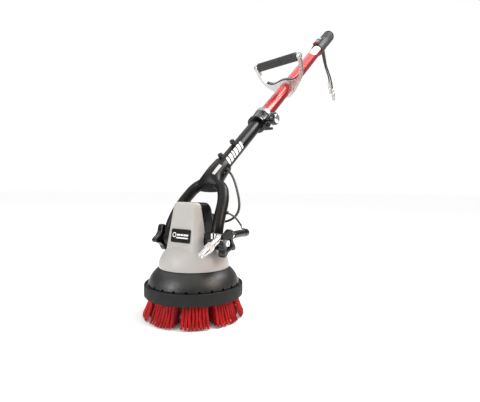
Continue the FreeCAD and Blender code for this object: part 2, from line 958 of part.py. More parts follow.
def make_housing():
    wall = dim.shell_wall.value
    pivot_holes = cylinder(
        "pivot_holes", 15.3, 140.0, place(-70, dim.pivot_y, dim.pivot_z, Y_AXIS, 90)
    )
    # Grey front shell with the bell.
    tower_outer = tower("tower_outer", 0.0)
    tower_inner = tower("tower_inner", wall)
    front = common("tower_front", tower_outer, half_space("front_space", True))
    solid = fused("housing_solid", [bell("bell_outer", 0.0), front])
    cavity = fused("housing_cavity", [bell("bell_inner", wall), tower_inner])
    shell = cut("housing_shell", solid, fused("housing_voids", [cavity, pivot_holes]))
    deck_top = dim.guard_top + dim.deck_thickness
    posts = [
        cylinder(f"post{i}", 5.0, 50.0, place(x, y, deck_top))
        for i, (x, y) in enumerate(DECK_SCREWS)
    ]
    trimmed = common("posts_trimmed", fused("posts", posts), bell("bell_trim", 1.0))
    whole = fused("housing_whole", [shell, trimmed])
    node("motor_housing", drilled("housing_drilled", whole, DECK_SCREWS, 2.0, 105.0, 124.0))

    # Black rear cover with the cable box on its back.
    rear = common("tower_rear", tower("tower_cover", 0.8), half_space("rear_space", False))
    cable_box = box("cable_box", (-21.0, 12.0, 168.0), (21.0, 52.0, 222.0))
    box_round = rounded("cable_box_round", cable_box, lambda e: e.BoundBox.YMax > 30, 5.0)
    outside = fused("cover_outside", [rear, box_round])
    box_void = box("cable_box_void", (-18.5, 8.0, 170.5), (18.5, 49.5, 219.5))
    bells = bell("bell_tool", 0.0)
    inside = fused("cover_voids", [tower("tower_void", wall), box_void, bells, pivot_holes])
    node("rear_cover", cut("cover_cut", outside, inside))
    cover_spots = [(x, z) for x in (-15.0, 15.0) for z in (176.0, 214.0)]
    cover_screws = [
        cylinder(f"cover_screw{i}", 3.0, 1.6, place(x, 53.6, z, X_AXIS, 90))
        for i, (x, z) in enumerate(cover_spots)
    ]

    # Badge on the sloping front face.
    slope = math.degrees(
        math.atan2(
            dim.tower_base_front.value - dim.tower_top_front.value,
            dim.tower_top.value - dim.tower_base.value,
        )
    )
    height = 178.0
    rise = (height - dim.tower_base.value) / (dim.tower_top.value - dim.tower_base.value)
    front_y = dim.tower_base_front.value * (1 - rise) + dim.tower_top_front.value * rise
    plate = box("badge_blank", (-26.0, -1.8, -14.3), (26.0, 0.0, 14.3))
    badge = rounded("badge_round", plate, lambda e: e.BoundBox.YLength > 1.5, 3.0)
    node("badge_plate", badge, place(0, -front_y, height, X_AXIS, -slope))

    # Brackets that carry the fork's pivot, standing on the deck inside the shells.
    brackets = []
    for side in (1, -1):
        web = box(f"bracket_web{side}", (35.0, -22.0, deck_top), (38.0, 12.0, 180.0))
        hub = cylinder(
            f"bracket_hub{side}", 14.8, 23.0, place(35, dim.pivot_y, dim.pivot_z, Y_AXIS, 90)
        )
        hole = cylinder(
            f"bracket_hole{side}",
            dim.pivot_stud + dim.running_gap,
            40.0,
            place(30, dim.pivot_y, dim.pivot_z, Y_AXIS, 90),
        )
        bracket = cut(f"bracket{side}", fused(f"bracket_solid{side}", [web, hub]), hole)
        if side < 0:
            mirrored = doc.addObject("Part::Mirroring", "bracket_mirrored")
            mirrored.Source = bracket
            mirrored.Normal = X_AXIS
            bracket = mirrored
        brackets.append(bracket)
    washers = [
        turned_body(f"washer{i}", ring_profile(dim.pivot_stud + dim.running_gap, 14.8, 58.0, 59.8))
        for i in range(2)
    ]
    for washer, pivot in zip(washers, (PIVOT_RIGHT, PIVOT_LEFT)):
        washer.Placement = pivot
    group("pivot_brackets", brackets + washers)
    node("control_board", box("board", (-16.0, 40.0, 174.0), (16.0, 41.6, 216.0)))
    gland = turned_body(
        "gland_blank", [(0, -20), (7.5, -20), (7.5, -14), (6.0, -13.5), (4.4, 0), (0, 0)]
    )
    gland.Placement = facing(CABLE_ROUTE[-1], CABLE_ROUTE[-2])
    node("cable_gland", cut("gland_cut", gland, cable_box))
    return cover_screws


# ---------------------------------------------------------------- fork


def mirrored_route(points):
    """Extends a route on the +X side with its mirror image."""
    return points + [(-x, y, z) for x, y, z in reversed(points)]


def make_fork():
    arm = [(66, -5, 165), (66, -5, 191), (62, 11, 222), (55, 34, 253), (41, 52, 279), (21, 60, 291)]
    arch = doc.addObject("Part::Feature", "arch")
    arch.Shape = swept(rounded_path(mirrored_route(arm)), dim.arm_radius.value)
    # The web gathers the arch into the tube's socket.
    oval = Part.Ellipse(FreeCAD.Vector(0, 8, 58), 46, 13)
    rims = [
        Part.Wire([oval.toShape()]),
        Part.Wire([Part.Circle(FreeCAD.Vector(0, 2, 92), Z_AXIS, 25.5).toShape()]),
        Part.Wire([Part.Circle(FreeCAD.Vector(0, 0, 116), Z_AXIS, 24.0).toShape()]),
        Part.Wire(
            [
                Part.Circle(
                    FreeCAD.Vector(0, 0, dim.socket_end.value), Z_AXIS, dim.socket_radius.value
                ).toShape()
            ]
        ),
    ]
    web = doc.addObject("Part::Feature", "web")
    web.Shape = Part.makeLoft(rims, True)
    web.Placement = POLE
    tabs = [
        cylinder(
            f"tab{side}",
            dim.tab_radius,
            dim.tab_outer - dim.tab_inner,
            place(x, dim.pivot_y, dim.pivot_z, Y_AXIS, 90),
        )
        for side, x in (("right", dim.tab_inner), ("left", -dim.tab_outer))
    ]
    flats = [
        box("flat0", (dim.tab_outer, -30, 140), (90, 20, 186)),
        box("flat1", (40, -30, 140), (dim.tab_inner, 20, 186)),
        box("flat2", (-90, -30, 140), (-dim.tab_outer, 20, 186)),
        box("flat3", (-dim.tab_inner, -30, 140), (-40, 20, 186)),
    ]
    arms = cut("arms_flat", arch, fused("flats", flats))
    solid = fused("yoke_solid", [arms, web] + tabs)
    stud_bore = dim.pivot_stud + dim.running_gap
    pivot_bore = cylinder(
        "pivot_bore", stud_bore, 200.0, place(-100, dim.pivot_y, dim.pivot_z, Y_AXIS, 90)
    )
    tube_bore = cylinder("tube_bore", dim.lower_tube_radius, 100.0)
    tube_bore.Placement = POLE * place(0, 0, dim.lower_tube_start)
    across = place(0, 0, dim.socket_bolt_at, Y_AXIS, 90)
    bolt_bore = cylinder("bolt_bore", 3.0, 60.0)
    bolt_bore.Placement = POLE * across * place(0, 0, -30)
    seats = []
    for i, start in enumerate((24.6, -34.6)):
        seat = cylinder(f"bolt_seat{i}", 5.4, 10.0)
        seat.Placement = POLE * across * place(0, 0, start)
        seats.append(seat)
    bores = fused("yoke_bores", [pivot_bore, tube_bore, bolt_bore] + seats)
    yoke = node("fork_yoke", cut("yoke_cut", solid, bores))

    inner = dim.lower_tube_radius - dim.lower_tube_wall
    tube = turned_body(
        "lower_tube_blank",
        ring_profile(inner, dim.lower_tube_radius, dim.lower_tube_start, dim.lower_tube_end),
    )
    cross = cylinder("tube_cross_bore", 3.0, 60.0, across * place(0, 0, -30))
    cap_holes = [
        cylinder(f"cap_hole{i}", 3.0, 12.0, place(0, -12, at, X_AXIS, 90))
        for i, at in enumerate((145.0, 210.0))
    ]
    node("lower_tube", cut("lower_tube_cut", tube, fused("tube_bores", [cross] + cap_holes)), POLE)
    bolt = cylinder("socket_bolt_shank", 3.0, 50.0, across * place(0, 0, -25))
    heads = [
        cylinder(f"socket_bolt_head{i}", 5.0, 3.0, across * place(0, 0, z))
        for i, z in enumerate((-27.6, 24.6))
    ]
    bolt = fused("socket_bolt", [bolt] + heads)
    caps = []
    for i, at in enumerate((145.0, 210.0)):
        cap = turned_body(
            f"cap_screw{i}",
            [
                (0, 14),
                (3, 14),
                (3, 17.6),
                (3.8, 17.6),
                (3.8, 22),
                (6.4, 22),
                (6.4, 29),
                (5.2, 30.4),
                (0, 30.4),
            ],
        )
        cap.Placement = place(0, 0, at, X_AXIS, 90)
        caps.append(cap)
    group("fork_screws", caps + [bolt], POLE)

    # Spray line on the right-hand arm, reaching round the front of the star knob.
    spray_y = dim.spray_y
    spray_z = dim.spray_z
    strut = box("bracket_strut", (60, -43.5, 179), (71, -10, 188))
    bar = box("bracket_bar", (60, -43.5, 179), (114, -38.5, 188))
    block = box("bracket_block", (99, -40, 178), (113, -18, 190))
    cheeks = []
    for i, x in enumerate((98.0, 111.3)):
        cheeks.append(box(f"cheek_box{i}", (x, spray_y, 178.5), (x + 2.7, -41, 189.5)))
        cheeks.append(
            cylinder(f"cheek_round{i}", 5.5, 2.7, place(x, spray_y, spray_z, Y_AXIS, 90))
        )
    bracket = fused("bracket_fused", [strut, bar, block] + cheeks)
    pin_bore = cylinder("pin_bore", 2.5, 30.0, place(90, spray_y, spray_z, Y_AXIS, 90))
    bracket = cut("bracket_cut", bracket, fused("bracket_tools", [pin_bore, yoke]))
    pin = turned_body(
        "nozzle_pin",
        [(0, 96.8), (4, 96.8), (4, 98), (2.5, 98), (2.5, 114), (4, 114), (4, 115.2), (0, 115.2)],
    )
    pin.Placement = place(0, spray_y, spray_z, Y_AXIS, 90)
    clip = cut("clip_cut", box("clip_blank", (79, -45.5, 177.5), (92, -37.2, 189.5)), bracket)
    group("nozzle_bracket", [bracket, pin, clip])
    line = place(dim.spray_x, dim.filter_start, spray_z, X_AXIS, -90)
    radius = dim.filter_radius
    can = turned_body(
        "filter_can",
        [(0, 4), (radius - 1, 4), (radius, 6), (radius, 46), (radius - 1, 47), (0, 47)],
    )
    cap = turned_body(
        "filter_cap",
        [
            (0, 47.2),
            (radius - 0.4, 47.2),
            (radius + 0.6, 48),
            (radius + 0.6, 59),
            (radius - 1.5, 62),
            (0, 62),
        ],
    )
    group("inline_filter", [can, cap], line)
    fitting = turned_body(
        "filter_nose", [(0, -7), (3.6, -7), (3.6, -1), (6.2, -1), (6.2, 4), (0, 4)]
    )
    fitting.Placement = line
    barb = turned_body("hose_barb", [(0, 4), (3.4, 4), (3.4, 9.5), (2.4, 13), (0, 13)])
    barb.Placement = FreeCAD.Placement(BARB_ROOT, FreeCAD.Rotation(Z_AXIS, BARB_WAY))
    cap_tool = cylinder("cap_tool", radius + 0.6, 15.0, line * place(0, 0, 47.0))
    group("filter_fittings", [fitting, cut("barb_cut", barb, cap_tool)])
    grommets = []
    for i, (route, bulk) in enumerate(((CABLE_ROUTE, 5.0), (HOSE_ROUTE, 4.0))):
        nose = cylinder(f"grommet_nose{i}", bulk, 7.0)
        nose.Placement = facing(route[1], route[0], at=route[0])
        grommets.append(cut(f"grommet{i}", nose, yoke))
    group("hose_grommets", grommets)


def make_nozzle():
    aim = place(dim.spray_x, dim.spray_y, dim.spray_z, X_AXIS, 90 + dim.nozzle_dip.value)
    barrel = cylinder("swivel_barrel", 6.4, 9.8, place(-4.9, 0, 0, Y_AXIS, 90))
    neck = cylinder("swivel_neck", 4.6, 9.0, place(0, 0, 3))
    bore = cylinder(
        "swivel_bore", dim.planet_pin + dim.running_gap, 20.0, place(-10, 0, 0, Y_AXIS, 90)
    )
    swivel = cut("swivel_cut", fused("swivel_solid", [barrel, neck]), bore)
    sleeve = turned_body(
        "nozzle_sleeve",
        [
            (0, 12),
            (5.4, 12),
            (6.4, 13),
            (6.4, 22),
            (5.6, 22.6),
            (5.6, 24),
            (6.4, 24.6),
            (6.4, 32),
            (0, 32),
        ],
    )
    hexagon = doc.addObject("Part::Prism", "nozzle_hexagon")
    hexagon.Polygon = 6
    bind(hexagon, Circumradius=8.8, Height=15.0)
    hexagon.Placement = place(0, 0, 32)
    spigot = cylinder("nozzle_spigot", 4.0, 10.0, place(0, 0, 46))
    group("nozzle_body", [swivel, sleeve, fused("nozzle_nut", [hexagon, spigot])], aim)
    turned(
        "nozzle_tip",
        [
            (4.05, 47.3),
            (7.4, 47.3),
            (7.4, 60),
            (6.2, 66),
            (5.2, 66),
            (3.0, 64),
            (1.2, 64),
            (1.2, 57.0),
            (4.05, 57.0),
        ],
        aim,
    )


def make_knob(side, pivot, first_lobe):
    inner = dim.knob_inner
    core = cylinder(f"{side}_core", 19.5, dim.knob_depth, place(0, 0, inner))
    neck = cylinder(f"{side}_neck", 12.0, inner - 72.2, place(0, 0, 72.2))
    lobes = []
    orbit = dim.knob_radius - dim.lobe_radius
    for angle, x, y in around(dim.knob_lobes, orbit, first_lobe):
        lobes.append(
            cylinder(f"{side}_lobe{len(lobes)}", dim.lobe_radius, dim.knob_depth, place(x, y, inner))
        )
        rib = box(
            f"{side}_rib{len(lobes)}",
            (0.0, -7.0, inner),
            (orbit, 7.0, inner + dim.knob_depth),
            place(angle=angle),
        )
        lobes.append(rib)
    solid = fused(f"{side}_solid", [core, neck] + lobes)
    recess = cylinder(
        f"{side}_recess", 10.0, 8.0, place(0, 0, inner + dim.knob_depth - 5.5)
    )
    bore = cylinder(f"{side}_bore", dim.pivot_stud, 60.0, place(0, 0, 60))
    star = cut(f"{side}_star", solid, fused(f"{side}_tools", [recess, bore]))
    seat = inner + dim.knob_depth - 5.5
    shank = cylinder(f"{side}_shank", dim.pivot_stud, seat - 39.0, place(0, 0, 39))
    head = doc.addObject("Part::Prism", f"{side}_head")
    head.Polygon = 6
    bind(head, Circumradius=7.6, Height=4.0)
    head.Placement = place(0, 0, seat)
    group(f"{side}_knob", [star, fused(f"{side}_stud", [shank, head])], pivot)


# ---------------------------------------------------------------- upper pole


def make_upper_pole():
    inner = dim.upper_tube_radius - dim.upper_tube_wall
    turned(
        "upper_tube",
        ring_profile(inner, dim.upper_tube_radius, dim.upper_tube_start, dim.upper_tube_end),
        POLE,
    )
    slide = dim.lower_tube_radius + 0.06
    turned("guide_bush", ring_profile(slide, 20.0, dim.clamp_start + 3.0, 361.8), POLE)
    outer = dim.clamp_radius
    ring = turned_body(
        "clamp_ring",
        [
            (18.2, dim.clamp_start),
            (dim.clamp_lip, dim.clamp_start),
            (dim.clamp_lip, dim.clamp_start + 5.0),
            (outer, dim.clamp_start + 7.0),
            (outer, dim.clamp_end - 16.0),
            (dim.upper_tube_radius, dim.clamp_end - 16.0),
            (dim.upper_tube_radius, 361.8),
            (20.0, 361.8),
            (20.0, dim.clamp_start + 3.0),
            (18.2, dim.clamp_start + 3.0),
        ],
    )
    boss = cylinder("clamp_boss", 9.5, 16.0, place(18, 0, 374, Y_AXIS, 90))
    wing_boss = box("wing_boss", (12, 12, 364), (24, 23.5, 384))
    bore = cylinder("clamp_bore", dim.upper_tube_radius, 40.0, place(0, 0, 361.8))
    screw_bore = cylinder("clamp_screw_bore", 4.05, 30.0, place(15, 0, 374, Y_AXIS, 90))
    wing_bore = cylinder("wing_screw_bore", 2.55, 14.0, place(18, 14, 374, X_AXIS, -90))
    solid = fused("clamp_solid", [ring, boss, wing_boss])
    tools = fused("clamp_tools", [bore, screw_bore, wing_bore])
    node("clamp_collar", cut("clamp_cut", solid, tools), POLE)
    turned(
        "clamp_band",
        ring_profile(dim.upper_tube_radius, dim.clamp_radius + 1.2, 388.0, dim.clamp_end),
        POLE,
    )
    cup = dim.clamp_knob_radius
    turned(
        "clamp_knob",
        [
            (4.0, 34.4),
            (9.0, 34.4),
            (cup - 2.0, 38.0),
            (cup, 41.0),
            (cup, 49.0),
            (cup - 2.0, 52.0),
            (cup - 5.0, 52.0),
            (cup - 5.0, 50.0),
            (4.0, 50.0),
        ],
        POLE * place(0, 0, 374, Y_AXIS, 90),
    )
    turned(
        "clamp_knob_screw",
        [
            (0, 19.4),
            (4.0, 19.4),
            (4.0, 50.0),
            (cup - 5.0, 50),
            (cup - 5.0, 53.5),
            (cup - 7.0, 56.3),
            (cup - 12.0, 58.2),
            (0, 58.6),
        ],
        POLE * place(0, 0, 374, Y_AXIS, 90),
    )
    stem = cylinder("wing_stem", 2.5, 14.0, place(0, 0, 16))
    hub = cylinder("wing_hub", 5.0, 6.0, place(0, 0, 24))
    blades = box("wing_blades", (-14, -1.5, 26.2), (14, 1.5, 33))
    wing_place = POLE * place(18, 0, 374, X_AXIS, -90)
    node("wing_screw", fused("wing_fused", [stem, hub, blades]), wing_place)


def mirrored_outline(points):
    """A list of points on the +X side, continued by its mirror image."""
    return points + [(-x, y) for x, y in reversed(points[:-1] if points[-1][0] == 0 else points)]


def spline_through(points, lift):
    curve = Part.BSplineCurve()
    curve.interpolate([FreeCAD.Vector(x, -y, lift) for x, y in points])
    return curve.toShape()


def band_between(outer, inner, depth):
    """A plate whose long edges are two smooth curves and whose ends are straight."""
    lift = -depth / 2
    first, second = spline_through(outer, lift), spline_through(inner, lift)
    ends = [
        Part.LineSegment(a.Vertexes[i].Point, b.Vertexes[i].Point).toShape()
        for a, b, i in ((first, second, 0), (first, second, -1))
    ]
    wire = Part.Wire(Part.__sortEdges__([first, second] + ends))
    return Part.Face(wire).extrude(FreeCAD.Vector(0, 0, depth))


def make_loop_handle():
    reach = dim.loop_width.value
    bar = dim.loop_bar_height.value
    depth = dim.loop_depth.value
    outside = [(reach, bar + 4), (79.5, 70), (76.5, 50), (70, 32), (57, 14), (40, -3), (25, -17)]
    outside += [(13, -26), (0, -29)]
    inside = [(reach - 9, bar + 4), (70.5, 70), (67, 50), (59, 34), (45, 25), (28, 23.5)]
    inside += [(13, 27), (0, 29)]
    frame = band_between(mirrored_outline(outside), mirrored_outline(inside), depth)
    hub = Part.makeCylinder(dim.loop_hub_radius.value, 26, FreeCAD.Vector(0, 0, -13))
    eyes = [
        Part.makeCylinder(10, 9.4, FreeCAD.Vector(x, -bar, 0), X_AXIS)
        for x in (reach - 9, -reach - 0.4)
    ]
    tube = Part.makeCylinder(dim.upper_tube_radius.value, 40, FreeCAD.Vector(0, 0, -20))
    rod = Part.makeCylinder(dim.bar_radius.value, 200, FreeCAD.Vector(-100, -bar, 0), X_AXIS)
    drill = Part.makeCylinder(2.5, 20, FreeCAD.Vector(0, 15, 0), Y_AXIS)
    casting = frame.fuse([hub] + eyes).cut([tube, rod, drill]).removeSplitter()
    shape_node("loop_handle", casting, LOOP)

    strip_low = inside[3:]
    strip_high = [(x * 0.975, y + 2.6) for x, y in strip_low]
    low, high = mirrored_outline(strip_low), mirrored_outline(strip_high)
    shape_node("handle_strip", band_between(high, low, depth - 3).cut(casting), LOOP)
    across = place(0, -bar, 0, Y_AXIS, 90)
    rod_half = reach + 0.4
    bar_rod = turned_body(
        "bar_rod",
        [(0, -rod_half), (dim.bar_radius, -rod_half), (dim.bar_radius, rod_half), (0, rod_half)],
    )
    bar_rod.Placement = across
    half = dim.bar_grip_half
    thick = dim.bar_grip_radius
    turned(
        "handle_grip",
        [
            (dim.bar_radius, -half),
            (thick - 1.5, -half),
            (thick, 1.5 - half),
            (thick, half - 1.5),
            (thick - 1.5, half),
            (dim.bar_radius, half),
        ],
        LOOP * across,
    )
    metal = [bar_rod]
    for i, (start, angle) in enumerate(((rod_half, 90), (-rod_half, -90))):
        metal.append(cylinder(f"handle_bolt{i}", 6.5, 3.2, place(start, -bar, 0, Y_AXIS, angle)))
    set_screw = [
        cylinder("set_screw_shank", 2.5, 10.2, place(0, 19.2, 0, X_AXIS, -90)),
        cylinder("set_screw_head", 4.5, 3.0, place(0, 29.4, 0, X_AXIS, -90)),
    ]
    metal.append(fused("set_screw", set_screw))
    group("handle_bar", metal, LOOP)


# ---------------------------------------------------------------- rear grip


def make_rear_grip():
    tube = dim.upper_tube_radius
    radius = dim.housing_radius
    start, end = dim.housing_start, dim.housing_end
    sleeve = turned_body(
        "housing_sleeve",
        [
            (0, start),
            (radius - 1.5, start),
            (radius, start + 1.5),
            (radius, end - 1.0),
            (radius - 1.0, end),
            (0, end),
        ],
    )
    pad = box("button_pad", (-11, -29, start + 4), (11, -10, end - 3))
    pad_round = rounded("button_pad_round", pad, lambda e: e.BoundBox.YMax < -28, 3.0)
    lead_boss = cylinder("lead_boss", 7.5, 12.0, place(3, 12, dim.lead_exit_at, X_AXIS, -90))
    solid = fused("housing_fused", [sleeve, pad_round, lead_boss])
    wells = [
        cylinder(f"button_well{i}", dim.button_radius + 0.4, 10.0, place(0, -20.5, at, X_AXIS, 90))
        for i, at in enumerate((dim.power_button_at, dim.water_button_at))
    ]
    bore = cylinder("housing_bore", tube, 90.0, place(0, 0, start - 10.0))
    node("switch_housing", cut("housing_cut", solid, fused("housing_tools", [bore] + wells)), POLE)
    switches = []
    for name, at in (("power", dim.power_button_at), ("water", dim.water_button_at)):
        turned(
            f"{name}_button",
            [
                (0, 25.5),
                (dim.button_radius, 25.5),
                (dim.button_radius, 30.6),
                (dim.button_radius - 1.2, 31.6),
                (0, 32.0),
            ],
            POLE * place(0, 0, at, X_AXIS, 90),
        )
        # The switch's plunger stops the button at the end of its travel.
        case = box(f"{name}_switch_case", (-4.5, -4.5, 20.5), (4.5, 4.5, 22.7))
        plunger = cylinder(f"{name}_plunger", 1.5, 4.9 - dim.button_travel, place(0, 0, 20.5))
        switch = fused(f"{name}_switch", [case, plunger])
        switch.Placement = place(0, 0, at, X_AXIS, 90)
        switches.append(switch)
    group("button_switches", switches, POLE)

    grip = dim.grip_radius
    rib = dim.rib_radius
    profile = [(tube, end), (grip, end), (grip, end + 34.0)]
    station = end + 34.0
    for _ in range(5):
        profile += [(rib, station + 1.5), (rib, station + 6.5), (grip, station + 8.0)]
        station = station + 10.0
        profile.append((grip, station))
    profile += [(grip, dim.grip_end), (tube, dim.grip_end)]
    turned("grip_sleeve", profile, POLE)
    tip = dim.grip_end + 16.0
    turned(
        "grip_end_cap",
        [
            (0, dim.upper_tube_end),
            (tube, dim.upper_tube_end),
            (tube, dim.grip_end),
            (rib, dim.grip_end, -14.0),
            (12.0, tip),
            (0, tip),
        ],
        POLE,
    )
    turned(
        "lead_strain_relief",
        [(0, 24), (7.2, 24), (7.2, 28), (6.4, dim.lead_exit_drop), (0, dim.lead_exit_drop)],
        POLE * place(3, 0, dim.lead_exit_at, X_AXIS, -90),
    )


# ---------------------------------------------------------------- cables

def connector(label, route, profile):
    """A metal connector on the end of a lead, in line with the lead's last run."""
    end = FreeCAD.Vector(*route[-1])
    heading = end - FreeCAD.Vector(*route[-2])
    turned(label, profile, FreeCAD.Placement(end, FreeCAD.Rotation(Z_AXIS, heading)))


def make_cables():
    cord("power_cable", CABLE_ROUTE, dim.cable_radius)
    cord("water_hose", HOSE_ROUTE, dim.hose_radius)
    cord("water_lead", WATER_LEAD_ROUTE, dim.lead_radius)
    cord("power_lead", POWER_LEAD_ROUTE, dim.lead_radius)
    body = dim.connector_radius
    connector(
        "water_connector",
        WATER_LEAD_ROUTE,
        [(0, 0), (4, 0), (body, 5), (body, 30), (5.2, 32), (5.2, 38), (4.0, 39), (4.0, 50), (0, 50)],
    )
    connector(
        "power_connector",
        POWER_LEAD_ROUTE,
        [(0, 0), (4, 0), (5.4, 3), (5.4, 16), (body, 17), (body, 34), (5.0, 35), (5.0, 48), (0, 48)],
    )


# ---------------------------------------------------------------- build, check and write

make_brush()
small_screws = make_drive()
deck_screws = make_deck()
cover_screws = make_housing()
group("head_screws", small_screws + [deck_screws] + cover_screws)
make_fork()
make_nozzle()
make_knob("right", PIVOT_RIGHT, -28.0)
make_knob("left", PIVOT_LEFT, -10.0)
make_upper_pole()
make_loop_handle()
make_rear_grip()
make_cables()
doc.recompute()

faults = []
for obj in doc.Objects:
    if "Invalid" in obj.State or "Error" in obj.State:
        faults.append(f"{obj.Name}: {obj.State}")
for label, obj in nodes.items():
    if obj.Shape.isNull() or not obj.Shape.isValid() or not obj.Shape.Solids:
        faults.append(f"{label}: bad shape")
if faults:
    raise RuntimeError("\n".join(faults))

os.makedirs("parts", exist_ok=True)
for label, obj in nodes.items():
    obj.Shape.exportStep(f"parts/{label}.step")
print(len(nodes), "nodes written")
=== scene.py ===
import math
import random
from itertools import product

import bmesh
import bpy
from mathutils import Matrix, Vector
from mathutils.bvhtree import BVHTree


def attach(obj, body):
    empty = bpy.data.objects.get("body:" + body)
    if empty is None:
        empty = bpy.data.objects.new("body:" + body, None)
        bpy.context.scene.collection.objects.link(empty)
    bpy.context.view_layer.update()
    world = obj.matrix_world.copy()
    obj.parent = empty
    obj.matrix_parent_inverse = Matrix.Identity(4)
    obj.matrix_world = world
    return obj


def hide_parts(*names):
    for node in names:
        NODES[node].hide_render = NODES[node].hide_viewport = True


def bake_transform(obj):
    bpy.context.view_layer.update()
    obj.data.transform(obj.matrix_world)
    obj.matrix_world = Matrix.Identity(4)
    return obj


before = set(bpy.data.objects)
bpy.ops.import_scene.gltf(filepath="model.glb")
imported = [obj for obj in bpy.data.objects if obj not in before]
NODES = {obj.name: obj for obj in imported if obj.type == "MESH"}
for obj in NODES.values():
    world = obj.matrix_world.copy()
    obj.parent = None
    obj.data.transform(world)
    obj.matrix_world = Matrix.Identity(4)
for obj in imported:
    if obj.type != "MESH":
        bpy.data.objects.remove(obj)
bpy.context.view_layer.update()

# Sizes are in millimetres and are turned into metres where a mesh or a curve is made.
MM = 0.001
COS, SIN = 0.798636, 0.601815
UP_POLE = Vector((0, COS, SIN))
DOWN = Vector((0, SIN, -COS))
TOP = -DOWN
X_AXIS = Vector((1, 0, 0))
Z_AXIS = Vector((0, 0, 1))
POLE_HEIGHT = 252.0
PIVOT = Vector((0, -5, 165))
LOWER_TUBE_RADIUS = 17.5
UPPER_TUBE_RADIUS = 19.0
GRIP_RADIUS = 13.5
CAP_SCREWS_AT = (145.0, 210.0)
SIDE_SCREWS_AT = 102.0
SIDE_SCREW_SEAT = 24.6


def on_pole(along, x=0.0, down=0.0):
    """A point given along the pole, across it and below its axis."""
    return Vector((x, 0, POLE_HEIGHT)) + UP_POLE * along + DOWN * down


# ---------------------------------------------------------------- camera

scene = bpy.context.scene
turn, lift, roll = math.radians(31.8), math.radians(2.09), math.radians(0.52)
back = Vector(
    (math.sin(turn) * math.cos(lift), -math.cos(turn) * math.cos(lift), math.sin(lift))
)
level_right = Vector((math.cos(turn), math.sin(turn), 0))
level_up = Vector(
    (-math.sin(turn) * math.sin(lift), math.cos(turn) * math.sin(lift), math.cos(lift))
)
right = level_right * math.cos(roll) + level_up * math.sin(roll)
up = level_up * math.cos(roll) - level_right * math.sin(roll)
lens = bpy.data.cameras.new("camera")
lens.lens = 27.9
lens.sensor_width = 36
lens.sensor_fit = "HORIZONTAL"
lens.clip_start = 0.01
lens.clip_end = 50
camera = bpy.data.objects.new("camera", lens)
scene.collection.objects.link(camera)
camera.matrix_world = Matrix.Translation((0.5222, -0.6497, 0.2824)) @ Matrix(
    (
        (right.x, up.x, back.x, 0),
        (right.y, up.y, back.y, 0),
        (right.z, up.z, back.z, 0),
        (0, 0, 0, 1),
    )
)
scene.camera = camera
scene.view_settings.view_transform = "Standard"

# ---------------------------------------------------------------- materials


